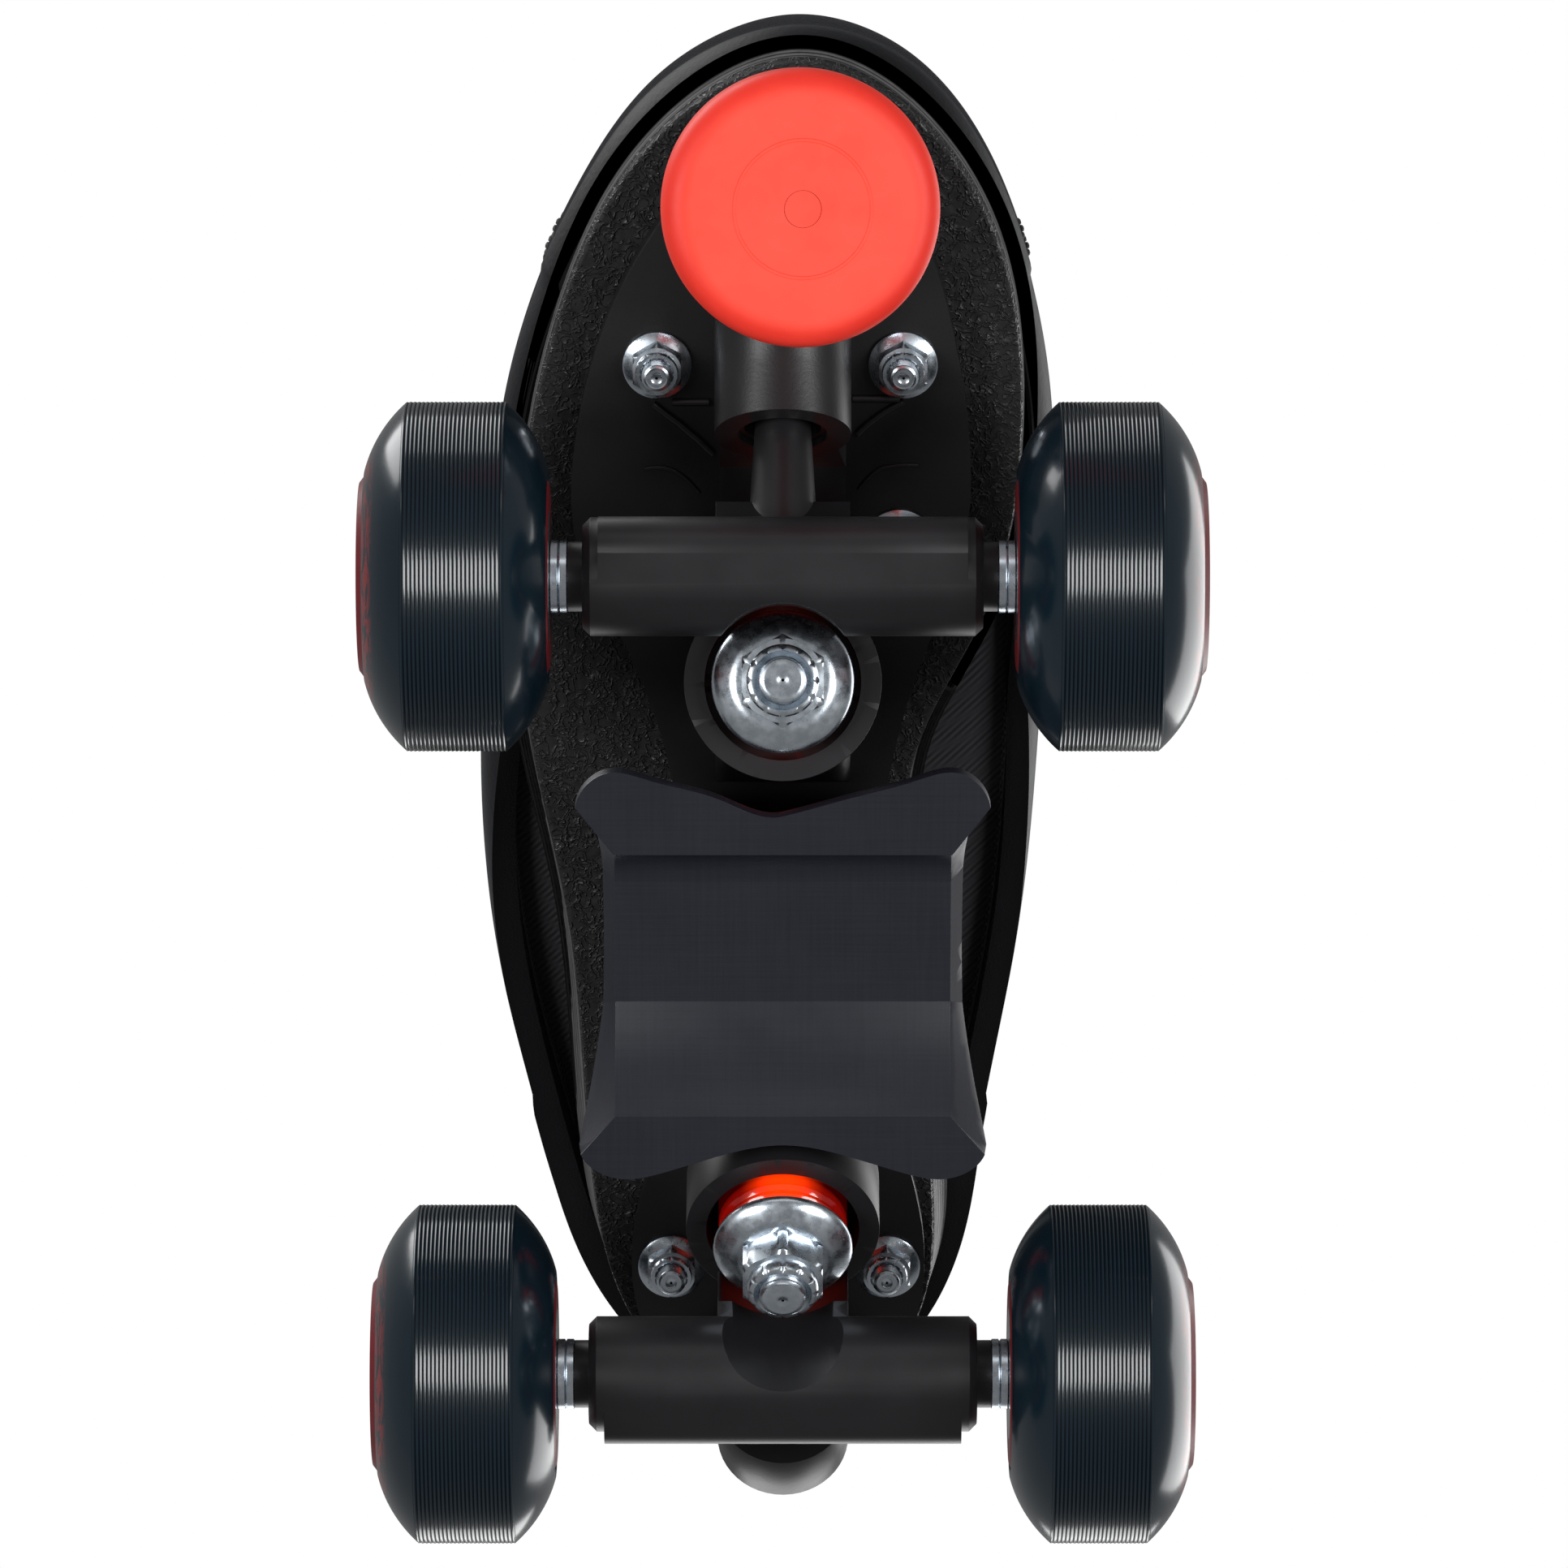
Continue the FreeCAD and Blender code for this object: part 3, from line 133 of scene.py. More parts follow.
def make_floor():
    """A pale floor that is only there from above, so that the underside can be seen and lit."""
    mesh = bpy.data.meshes.new("floor")
    corners = [(-FLOOR_HALF, -FLOOR_HALF, 0), (FLOOR_HALF, -FLOOR_HALF, 0),
               (FLOOR_HALF, FLOOR_HALF, 0), (-FLOOR_HALF, FLOOR_HALF, 0)]
    mesh.from_pydata(corners, [], [(0, 1, 2, 3)])
    floor = bpy.data.objects.new("floor", mesh)
    bpy.context.scene.collection.objects.link(floor)
    paint = bpy.data.materials.new("floor_paint")
    paint.use_nodes = True
    tree = paint.node_tree
    surface = tree.nodes["Principled BSDF"]
    surface.inputs["Base Color"].default_value = (0.8, 0.8, 0.8, 1)
    surface.inputs["Roughness"].default_value = 0.9
    clear = tree.nodes.new("ShaderNodeBsdfTransparent")
    side = tree.nodes.new("ShaderNodeNewGeometry")
    mix = tree.nodes.new("ShaderNodeMixShader")
    tree.links.new(side.outputs["Backfacing"], mix.inputs["Fac"])
    tree.links.new(surface.outputs["BSDF"], mix.inputs[1])
    tree.links.new(clear.outputs["BSDF"], mix.inputs[2])
    tree.links.new(mix.outputs["Shader"], tree.nodes["Material Output"].inputs["Surface"])
    mesh.materials.append(paint)
    floor.visible_diffuse = False
    floor.visible_glossy = False
    floor.visible_shadow = False
    floor.visible_transmission = False


SOLE_TARGET = (0, -10, 50)
BOOT_TARGET = (0, 0, 130)
# Where the side softboxes stand from the camera, and each fixed softbox: (spot, target, size, watts).
# Spots and sizes are in metres.
SIDE_SOFTBOX = (1.05, 0.11, 0.30)
SOFTBOXES = {
    "toe": ((0.0, -1.5, -0.5), SOLE_TARGET, (1.6, 0.35), 2.0),
    "high_left": ((-1.5, -1.3, 1.9), BOOT_TARGET, (1.8, 1.8), 42.0),
    "high_right": ((1.8, 0.8, 1.6), BOOT_TARGET, (1.8, 1.8), 26.0),
    "back": ((0.1, 2.0, 1.3), BOOT_TARGET, (1.8, 1.0), 16.0),
}


def make_lights():
    """Two tall softboxes beside the camera, a dim one beyond the toe, and three above for the boot."""
    camera = place(*CAMERA_SPOT)
    across, along, up = SIDE_SOFTBOX
    for side, name in SIDES.items():
        spot = Vector((side * across, camera.y + along, camera.z + up))
        make_light(f"{name}_softbox", spot, place(*SOLE_TARGET), (0.5, 0.8), 15.0)
    for name, (spot, target, size, power) in SOFTBOXES.items():
        make_light(f"{name}_softbox", Vector(spot), place(*target), size, power)


# ---------------------------------------------------------------- shader helpers

class Paint:
    """A node material, built up from one Principled BSDF."""

    def __init__(self, name, colour, roughness, **sockets):
        self.material = bpy.data.materials.new(name)
        self.material.use_nodes = True
        self.tree = self.material.node_tree
        self.surface = self.tree.nodes["Principled BSDF"]
        self.surface.inputs["Base Color"].default_value = (*colour, 1)
        self.surface.inputs["Roughness"].default_value = roughness
        for socket, value in sockets.items():
            self.surface.inputs[socket.replace("_", " ")].default_value = value
        self.spot = self.add("ShaderNodeTexCoord").outputs["Object"]

    def add(self, kind, inputs=None, **settings):
        node = self.tree.nodes.new(kind)
        for name, value in settings.items():
            setattr(node, name, value)
        for name, value in (inputs or {}).items():
            self.feed(node.inputs[name], value)
        return node

    def feed(self, socket, value):
        if isinstance(value, bpy.types.NodeSocket):
            self.tree.links.new(value, socket)
        else:
            socket.default_value = value

    def attribute(self, name, output="Fac"):
        return self.add("ShaderNodeAttribute", attribute_name=name).outputs[output]

    def stretched(self, scale, spot=None):
        """Coordinates with a separate scale along each axis."""
        inputs = {"Vector": spot or self.spot, "Scale": scale}
        return self.add("ShaderNodeMapping", inputs).outputs["Vector"]

    def noise(self, scale, detail=3.0, roughness=0.55, spot=None, distortion=0.0):
        inputs = {"Vector": spot or self.spot, "Scale": scale, "Detail": detail, "Roughness": roughness,
                  "Distortion": distortion}
        return self.add("ShaderNodeTexNoise", inputs).outputs["Fac"]

    def cells(self, scale, feature="F1", spot=None, randomness=1.0):
        inputs = {"Vector": spot or self.spot, "Scale": scale, "Randomness": randomness}
        return self.add("ShaderNodeTexVoronoi", inputs, feature=feature).outputs["Distance"]

    def remap(self, value, low, high, to_low=0.0, to_high=1.0, smooth=False):
        inputs = {"Value": value, "From Min": low, "From Max": high, "To Min": to_low, "To Max": to_high}
        style = "SMOOTHSTEP" if smooth else "LINEAR"
        return self.add("ShaderNodeMapRange", inputs, interpolation_type=style).outputs["Result"]

    def maths(self, operation, first, second=0.0):
        node = self.add("ShaderNodeMath", operation=operation)
        self.feed(node.inputs[0], first)
        self.feed(node.inputs[1], second)
        return node.outputs[0]

    def product(self, first, second):
        return self.maths("MULTIPLY", first, second)

    def length(self, first, second):
        """The length of a flat vector with these parts."""
        squares = [self.product(part, part) for part in (first, second)]
        return self.maths("SQRT", self.maths("ADD", *squares))

    def parts(self, vector):
        return self.add("ShaderNodeSeparateXYZ", {"Vector": vector}).outputs

    def blend(self, amount, first, second):
        """A colour between two colours."""
        node = self.add("ShaderNodeMix", data_type="RGBA")
        self.feed(node.inputs["Factor"], amount)
        for socket, colour in (("A", first), ("B", second)):
            value = (*colour, 1) if isinstance(colour, tuple) else colour
            sockets = (item for item in node.inputs if item.name == socket and item.type == "RGBA")
            self.feed(next(sockets), value)
        return next(item for item in node.outputs if item.type == "RGBA")

    def colour(self, value):
        self.feed(self.surface.inputs["Base Color"], value)

    def roughness(self, value):
        self.feed(self.surface.inputs["Roughness"], value)

    def bump(self, *layers):
        """Bumps one on another: (height, strength, depth in millimetres) each."""
        normal = None
        for height, strength, depth in layers:
            inputs = {"Height": height, "Strength": strength, "Distance": depth * MM}
            if normal:
                inputs["Normal"] = normal
            normal = self.add("ShaderNodeBump", inputs).outputs["Normal"]
        self.feed(self.surface.inputs["Normal"], normal)


WHEEL_RADIUS = 28.5
CORE_RADIUS = 17.0
TREAD_HALF = 8.1
SEAT_HALF = 14.6
TREAD_RIDGES = 24
RIDGE_DEPTH = 0.14
# Each shoulder is an arc from the tread's edge to the hub, which starts this steep and ends almost upright.
SHOULDER_START = math.radians(43)
SHOULDER_END = math.radians(76)


# ---------------------------------------------------------------- materials

def paint_suede():
    """Black microfibre suede with a short nap; a mesh attribute turns parts of it smooth."""
    paint = Paint("boot_suede", (0.005, 0.005, 0.006), 0.92, Specular_IOR_Level=0.12, Sheen_Weight=0.06,
                  Sheen_Roughness=0.5)
    paint.surface.inputs["Sheen Tint"].default_value = (0.6, 0.62, 0.7, 1)
    smooth = paint.attribute("smooth_leather")
    nap = paint.noise(90, 4.0, 0.6, distortion=0.6)
    napped = paint.blend(nap, (0.0028, 0.0028, 0.0034), (0.0085, 0.0085, 0.010))
    paint.colour(paint.blend(smooth, napped, (0.006, 0.0062, 0.007)))
    paint.roughness(paint.remap(smooth, 0, 1, 0.93, 0.46))
    fibres = paint.noise(2600, 2.0, 0.7)
    grain = paint.cells(900)
    paint.bump((fibres, paint.remap(smooth, 0, 1, 0.8, 0.12), 0.35),
               (grain, paint.remap(smooth, 0, 1, 0.0, 0.25), 0.12))
    return paint.material


def weave_height(paint, pitch):
    """The height of a plain weave with this many threads to a metre."""
    x, y, z = paint.parts(paint.spot)
    turn = 2 * math.pi * pitch
    up = paint.maths("SINE", paint.product(z, turn))
    along = paint.maths("SINE", paint.product(paint.maths("ADD", x, y), turn))
    return paint.product(up, along)


def paint_textile(name, dark, light, pitch):
    """A woven fabric with a slight difference from thread to thread."""
    paint = Paint(name, dark, 0.9, Specular_IOR_Level=0.2, Sheen_Weight=0.12, Sheen_Roughness=0.4)
    threads = weave_height(paint, pitch)
    paint.colour(paint.blend(paint.remap(threads, -1, 1), dark, light))
    paint.bump((threads, 0.5, 0.25), (paint.noise(1800), 0.25, 0.2))
    return paint.material


def paint_outsole():
    """Black rubber, wrinkled like worms a millimetre apart: the tops of its wrinkles are glossier and painted
    lighter as a highlight, and its hollows are painted dark as shade.
    """
    paint = Paint("outsole_rubber", (0.008, 0.008, 0.008), 0.42, Specular_IOR_Level=0.5)
    height = paint.attribute("wrinkle")
    wave = paint.noise(520, 1.5, 0.5, distortion=1.1)
    worms = paint.remap(paint.maths("ABSOLUTE", paint.maths("SUBTRACT", wave, 0.5)), 0.085, 0.0, smooth=True)
    # Painted highlight on the wrinkle tops and painted shade in the hollows; the lower roughness on the tops
    # is the rubber's own.
    tops = paint.product(worms, paint.remap(height, 0, 0.35, 0.35, 1.0))
    paint.colour(paint.blend(tops, (0.0018, 0.0018, 0.002), (0.021, 0.021, 0.0215)))
    paint.roughness(paint.remap(tops, 0, 1, 0.7, 0.33))
    paint.bump((worms, 1.0, 0.32), (paint.noise(2600, 2.0, 0.6), 0.4, 0.1))
    return paint.material


def paint_layers():
    """The stacked sole: dark layers with thin grey lines painted on as highlights where the ground edges
    would catch the light.
    """
    paint = Paint("layered_sole", (0.02, 0.02, 0.021), 0.5, Specular_IOR_Level=0.35)
    line = paint.attribute("layer_edge_highlight")
    scuff = paint.noise(350, 3.0, 0.6)
    # The grey is a painted highlight on each layer's ground edge; the scuff noise varies its strength.
    grey = paint.blend(scuff, (0.06, 0.06, 0.062), (0.17, 0.17, 0.175))
    paint.colour(paint.blend(line, (0.007, 0.007, 0.0075), grey))
    paint.roughness(paint.remap(scuff, 0.2, 0.8, 0.42, 0.62))
    paint.bump((paint.noise(1500, 3.0), 0.25, 0.12), (scuff, 0.2, 0.2))
    return paint.material


def paint_nylon():
    """Black moulded nylon: satin, with the fine grain of its mould and slight sink marks."""
    paint = Paint("plate_nylon", (0.009, 0.009, 0.0098), 0.36, Specular_IOR_Level=0.42)
    flow = paint.noise(45, 3.0, 0.5)
    paint.colour(paint.blend(flow, (0.0065, 0.0065, 0.0072), (0.0125, 0.0125, 0.0135)))
    paint.roughness(paint.remap(flow, 0.2, 0.8, 0.28, 0.46))
    paint.bump((paint.noise(1700, 2.0, 0.6), 0.22, 0.10), (paint.noise(110, 2.0), 0.15, 0.5))
    return paint.material


def paint_anodised():
    """Black anodised aluminium with a fine blasted grain."""
    paint = Paint("hanger_anodised", (0.014, 0.0135, 0.0155), 0.42, Metallic=0.35, Specular_IOR_Level=0.6)
    haze = paint.noise(70, 3.0)
    paint.colour(paint.blend(haze, (0.0095, 0.009, 0.0105), (0.017, 0.0165, 0.019)))
    paint.roughness(paint.remap(haze, 0.25, 0.75, 0.38, 0.46))
    paint.bump((paint.noise(3200, 2.0, 0.7), 0.12, 0.05), (paint.noise(420, 2.0), 0.06, 0.15))
    return paint.material


def paint_block():
    """Machined dark blue-black plastic: fine tool lines along the groove and cutter marks across it."""
    paint = Paint("slide_block_machined", (0.014, 0.016, 0.027), 0.4, Specular_IOR_Level=0.45)
    tool_lines = paint.noise(1.0, 3.0, 0.65, paint.stretched((45, 2600, 2600)))
    cutter_marks = paint.noise(1.0, 2.0, 0.6, paint.stretched((2300, 60, 110)))
    cloud = paint.noise(60, 3.0)
    both = paint.maths("ADD", paint.product(tool_lines, 0.55), paint.product(cutter_marks, 0.45))
    paint.colour(paint.blend(paint.remap(both, 0.3, 0.7), (0.0090, 0.0098, 0.0150), (0.0145, 0.0158, 0.0240)))
    paint.roughness(paint.remap(cloud, 0.25, 0.75, 0.34, 0.46))
    paint.bump((tool_lines, 0.14, 0.08), (cutter_marks, 0.09, 0.06))
    return paint.material


def paint_zinc():
    """Bright zinc plate with a blue cast, cloudy in places, over turned steel."""
    paint = Paint("zinc_plate", (0.62, 0.68, 0.74), 0.24, Metallic=1.0)
    cloud = paint.noise(500, 4.0, 0.6)
    paint.colour(paint.blend(cloud, (0.42, 0.48, 0.54), (0.80, 0.86, 0.92)))
    paint.roughness(paint.remap(cloud, 0.25, 0.75, 0.20, 0.36))
    paint.bump((paint.noise(2600, 3.0, 0.7), 0.10, 0.05), (cloud, 0.12, 0.05))
    return paint.material


def paint_steel():
    """Ground bearing steel."""
    paint = Paint("bearing_steel", (0.56, 0.57, 0.6), 0.22, Metallic=1.0)
    ground = paint.noise(1.0, 2.0, 0.6, paint.stretched((3000, 400, 400)))
    paint.colour(paint.blend(ground, (0.42, 0.43, 0.46), (0.68, 0.69, 0.72)))
    paint.bump((ground, 0.2, 0.05))
    return paint.material


def paint_urethane():
    """Dark blue-black cast urethane; its outer wall carries a worn dark red print of plain strokes.

    The ground tread is striped: the lathe's grooves are duller than what is left between them, and painted
    darker as shade in the grooves.
    """
    paint = Paint("wheel_urethane", (0.004, 0.012, 0.019), 0.2, Specular_IOR_Level=0.4, Coat_Weight=0.2,
                  Coat_Roughness=0.1)
    outward, across, up = paint.parts(paint.attribute("wheel_local", "Vector"))
    radius = paint.length(across, up)
    angle = paint.maths("ARCTAN2", up, across)
    depth = paint.noise(55, 2.0)
    body = paint.blend(depth, (0.0022, 0.0085, 0.0145), (0.0042, 0.0145, 0.0230))
    wave = paint.maths("COSINE", paint.product(outward, math.pi * TREAD_RIDGES / TREAD_HALF))
    on_tread = paint.remap(radius, WHEEL_RADIUS - 0.4, WHEEL_RADIUS - 0.25)
    groove = paint.product(on_tread, paint.remap(wave, 0.4, -0.6))
    # Painted shade: the grooves are darkened in colour; their roughness, specular and coat below are the
    # surface's own.
    body = paint.blend(groove, body, (0.0012, 0.0040, 0.0068))
    ring = paint.product(paint.remap(radius, 17.5, 18.0), paint.remap(radius, 22.4, 20.6))
    outside = paint.product(ring, paint.remap(outward, 9.5, 11.0))
    swirl = paint.add("ShaderNodeCombineXYZ", {"X": paint.product(angle, 5.0), "Y": radius}).outputs[0]
    strokes = paint.noise(0.55, 3.0, 0.7, swirl, 1.5)
    worn = paint.remap(strokes, 0.47, 0.53)
    printed = paint.product(outside, worn)
    red = paint.blend(paint.noise(900, 2.0), (0.09, 0.006, 0.010), (0.24, 0.010, 0.014))
    paint.colour(paint.blend(printed, body, red))
    paint.roughness(paint.remap(groove, 0, 1, 0.19, 0.55))
    paint.feed(paint.surface.inputs["Specular IOR Level"], paint.remap(groove, 0, 1, 0.42, 0.08))
    paint.feed(paint.surface.inputs["Coat Weight"], paint.remap(groove, 0, 1, 0.2, 0.0))
    paint.bump((paint.noise(900, 2.0), 0.05, 0.1))
    return paint.material


def paint_core():
    """Dark red nylon hub."""
    paint = Paint("wheel_core_nylon", (0.13, 0.008, 0.012), 0.35, Specular_IOR_Level=0.45)
    flow = paint.noise(160, 3.0)
    paint.colour(paint.blend(flow, (0.08, 0.005, 0.008), (0.17, 0.010, 0.015)))
    paint.bump((paint.noise(1600, 2.0), 0.2, 0.08))
    return paint.material


def paint_cushion():
    """Clear red cast urethane with painted light: its middle is painted lighter and made to shine by
    emission, as if light came through it, and its sides are painted a darker, shaded red.
    """
    # The emission strength makes the cushion a painted light source, though it is no lamp.
    paint = Paint("cushion_urethane", (0.95, 0.012, 0.002), 0.12, Specular_IOR_Level=0.5,
                  Subsurface_Weight=0.4, Subsurface_Scale=0.004, Coat_Weight=0.4, Coat_Roughness=0.06,
                  Emission_Strength=1.1)
    paint.surface.inputs["Subsurface Radius"].default_value = (1.0, 0.15, 0.05)
    across = paint.maths("ABSOLUTE", paint.parts(paint.spot)["X"])
    # A painted lit band down the middle of each cushion; the sides get painted shade.
    lit = paint.remap(across, 0.0075, 0.001, smooth=True)
    swirl = paint.noise(160, 2.0, 0.5, distortion=0.8)
    painted_shade_red = paint.blend(swirl, (0.20, 0.002, 0.001), (0.42, 0.006, 0.002))
    painted_lit_red = paint.blend(swirl, (0.80, 0.010, 0.001), (1.0, 0.055, 0.004))
    paint.colour(paint.blend(lit, painted_shade_red, painted_lit_red))
    # Painted glowing: the emission colour is strong in the lit middle and faint on the sides.
    painted_glow_colour = paint.blend(lit, (0.018, 0.0, 0.0), (0.75, 0.028, 0.0))
    paint.feed(paint.surface.inputs["Emission Color"], painted_glow_colour)
    paint.bump((paint.noise(700, 2.0), 0.15, 0.1))
    return paint.material


def paint_black_urethane():
    """Plain black urethane of the pivot cups."""
    paint = Paint("pivot_cup_urethane", (0.010, 0.010, 0.010), 0.45, Specular_IOR_Level=0.4)
    paint.colour(paint.blend(paint.noise(200, 2.0), (0.007, 0.007, 0.007), (0.014, 0.014, 0.014)))
    paint.bump((paint.noise(1500, 2.0), 0.2, 0.1))
    return paint.material


def paint_stop_rubber():
    """Orange-red rubber: a paler, faintly mottled face inside a more saturated rim."""
    paint = Paint("stop_rubber", (0.90, 0.055, 0.028), 0.5, Specular_IOR_Level=0.3)
    x, y, up = paint.parts(paint.attribute("stop_local", "Vector"))
    radius = paint.length(x, y)
    face = paint.product(paint.remap(radius, 20.5, 17.5, smooth=True), paint.remap(up, 2.0, 0.5))
    mottle = paint.noise(130, 4.0, 0.6, distortion=0.4)
    rim = paint.blend(mottle, (0.80, 0.030, 0.018), (0.90, 0.045, 0.025))
    pale = paint.blend(mottle, (0.93, 0.070, 0.042), (1.0, 0.098, 0.062))
    paint.colour(paint.blend(face, rim, pale))
    paint.roughness(paint.remap(mottle, 0.2, 0.8, 0.42, 0.6))
    paint.bump((paint.noise(1400, 3.0), 0.15, 0.1), (mottle, 0.15, 0.4))
    return paint.material


# Radians of braid to a metre.
BRAID_PITCH = 5200


def paint_lace():
    """Black tubular lace, braided slantwise."""
    paint = Paint("lace_braid", (0.012, 0.012, 0.013), 0.8, Specular_IOR_Level=0.25, Sheen_Weight=0.15,
                  Sheen_Roughness=0.4)
    x, _, z = paint.parts(paint.spot)
    slant, other = (paint.maths("SINE", paint.product(paint.maths(way, x, z), BRAID_PITCH))
                    for way in ("ADD", "SUBTRACT"))
    braid = paint.product(slant, other)
    paint.colour(paint.blend(paint.remap(braid, -1, 1), (0.007, 0.007, 0.008), (0.028, 0.028, 0.031)))
    paint.bump((braid, 0.7, 0.3))
    return paint.material


def paint_thread():
    """Waxed dark grey thread."""
    paint = Paint("stitch_thread", (0.03, 0.03, 0.033), 0.55, Specular_IOR_Level=0.4)
    paint.colour(paint.blend(paint.noise(2500, 1.0), (0.018, 0.018, 0.02), (0.05, 0.05, 0.055)))
    paint.bump((paint.noise(4000, 1.0), 0.4, 0.1))
    return paint.material


def paint_eyelet():
    """Black painted eyelets, with a little metal showing where the lace rubs."""
    paint = Paint("eyelet_metal", (0.02, 0.02, 0.022), 0.3, Metallic=0.8)
    wear = paint.noise(900, 3.0)
    paint.colour(paint.blend(paint.remap(wear, 0.55, 0.7), (0.018, 0.018, 0.02), (0.12, 0.12, 0.13)))
    paint.bump((wear, 0.1, 0.05))
    return paint.material


PAINTS = {
    "suede": paint_suede(),
    "lining": paint_textile("padded_textile", (0.010, 0.010, 0.011), (0.030, 0.030, 0.033), 900),
    "insole": paint_textile("insole_textile", (0.014, 0.014, 0.016), (0.04, 0.04, 0.044), 700),
    "webbing": paint_textile("tab_webbing", (0.010, 0.010, 0.011), (0.04, 0.04, 0.043), 560),
    "outsole": paint_outsole(),
    "layers": paint_layers(),
    "nylon": paint_nylon(),
    "anodised": paint_anodised(),
    "block": paint_block(),
    "zinc": paint_zinc(),
    "steel": paint_steel(),
    "urethane": paint_urethane(),
    "core": paint_core(),
    "cushion": paint_cushion(),
    "black_urethane": paint_black_urethane(),
    "stop": paint_stop_rubber(),
    "lace": paint_lace(),
    "thread": paint_thread(),
    "eyelet": paint_eyelet(),
}

SLOT_PAINTS = {
    "wheel_urethane": "urethane",
    "wheel_core_nylon": "core",
    "bearing_steel": "steel",
    "zinc_plated_steel": "zinc",
    "black_anodised_aluminium": "anodised",
    "red_urethane": "cushion",
    "black_urethane": "black_urethane",
    "black_nylon": "nylon",
    "slide_block_plastic": "block",
    "orange_red_rubber": "stop",
    "black_rubber": "outsole",
    "layered_sole": "layers",
    "insole_foam": "insole",
    "black_suede": "suede",
    "padded_textile": "lining",
    "lace_textile": "lace",
    "webbing": "webbing",
}


def paint_cad_nodes():
    """Gives every node of the frame the material of its slot."""
    for part in frame["record"]["subparts"]:
        node = frame["nodes"][part["node"]]
        node.data.materials.clear()
        node.data.materials.append(PAINTS[SLOT_PAINTS[part["material_slot"]]])


# ---------------------------------------------------------------- mesh helpers

# Edges sharper than these stay crisp: on machined, on panelled and on padded pieces.
SHARP = math.radians(34)
PANEL_SHARP = math.radians(60)
SOFT_SHARP = math.radians(70)
# How wide the worn or moulded edge of a plain CAD piece is, in millimetres.
EDGE_WIDTHS = {"plate": 0.45, "slide_block": 0.4, "hanger_front": 0.3, "hanger_rear": 0.3,
               "toe_stop_lock_nut": 0.3}


def soften_edges():
    """A narrow bevel along the sharp edges of the machined and moulded pieces."""
    for name, width in EDGE_WIDTHS.items():
        piece = bpy.data.objects[name]
        joints = piece.modifiers.new("joined", "WELD")
        joints.merge_threshold = 0.005 * MM
        edge = piece.modifiers.new("edge", "BEVEL")
        edge.width = width * MM
        edge.segments = 2
        edge.limit_method = "ANGLE"
        edge.angle_limit = SHARP
        edge.use_clamp_overlap = True


def add_piece(name, points, faces, paint, slot, body=BOOT_BODY, replaces=(), attributes=None, sharp=SHARP):
    """A smooth-shaded mesh piece that rides on a body."""
    mesh = bpy.data.meshes.new(name)
    mesh.from_pydata([tuple(point) for point in points], [], faces)
    work = bmesh.new()
    work.from_mesh(mesh)
    bmesh.ops.recalc_face_normals(work, faces=work.faces)
    work.to_mesh(mesh)
    work.free()
    mesh.shade_smooth()
    mesh.set_sharp_from_angle(angle=sharp)
    for label, values in (attributes or {}).items():
        values = np.asarray(values, dtype=float)
        vector = values.ndim == 2
        layer = mesh.attributes.new(label, "FLOAT_VECTOR" if vector else "FLOAT", "POINT")
        layer.data.foreach_set("vector" if vector else "value", values.ravel())
    mesh.materials.append(PAINTS[paint])
    piece = bpy.data.objects.new(name, mesh)
    bpy.context.scene.collection.objects.link(piece)
    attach(piece, body)
    if replaces:
        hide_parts(*replaces)
    return piece


def grid_faces(rows, columns, wrap_rows=False, wrap_columns=False, start=0):
    """Quads of a grid of points, stored row by row."""
    faces = []
    for row in range(rows if wrap_rows else rows - 1):
        following = (row + 1) % rows
        for column in range(columns if wrap_columns else columns - 1):
            beside = (column + 1) % columns
            faces.append((start + row * columns + column, start + row * columns + beside,
                          start + following * columns + beside, start + following * columns + column))
    return faces


def capped_faces(rows, columns):
    """Faces of a tube of closed rings, with both its ends capped."""
    last = (rows - 1) * columns
    caps = [tuple(range(columns))[::-1], tuple(last + index for index in range(columns))]
    return grid_faces(rows, columns, wrap_columns=True) + caps


def turned_points(rings, base, axis, segments):
    """Rings of (radius, height), the radius a number or a function of the angle, about an axis."""
    axis = Vector(axis).normalized()
    across = axis.cross(Vector((0, 1, 0)) if abs(axis.y) < 0.9 else Vector((1, 0, 0))).normalized()
    other = axis.cross(across)
    points = []
    local = []
    for radius, height in rings:
        for step in range(segments):
            turn = 2 * math.pi * step / segments
            reach = radius(turn) if callable(radius) else radius
            x, y = reach * math.cos(turn), reach * math.sin(turn)
            points.append(base + (across * x + other * y + axis * height) * MM)
            local.append((x, y, height))
    return points, local


def turned_group(rings, base, axis, segments):
    """Points and faces of a closed ring shape: the rings run round its section once."""
    points, _ = turned_points(rings, base, axis, segments)
    return points, grid_faces(len(rings), segments, True, True)


def turned_piece(name, rings, base, axis, paint, slot, segments=96, **options):
    """A turned shape as one piece."""
    return add_piece(name, *turned_group(rings, base, axis, segments), paint, slot, **options)


def joined(name, groups, paint, slot, **options):
    """Several loose (points, faces) groups as one piece."""
    points = []
    faces = []
    for group_points, group_faces in groups:
        start = len(points)
        points += group_points
        faces += [tuple(start + index for index in face) for face in group_faces]
    return add_piece(name, points, faces, paint, slot, **options)


# ---------------------------------------------------------------- wheels

SHOULDER_STEPS = 16


def shoulder():
    """(radius, distance outward) down the shoulder from the tread's edge to the hub."""
    drop = WHEEL_RADIUS - CORE_RADIUS - 0.6
    across = SEAT_HALF + 0.3 - TREAD_HALF
    turns = np.linspace(SHOULDER_START, SHOULDER_END, SHOULDER_STEPS)
    down = np.cos(SHOULDER_START) - np.cos(turns)
    out = np.sin(turns) - np.sin(SHOULDER_START)
    return [(WHEEL_RADIUS - RIDGE_DEPTH / 2 - drop * a / down[-1], TREAD_HALF + across * b / out[-1])
            for a, b in zip(down, out)]


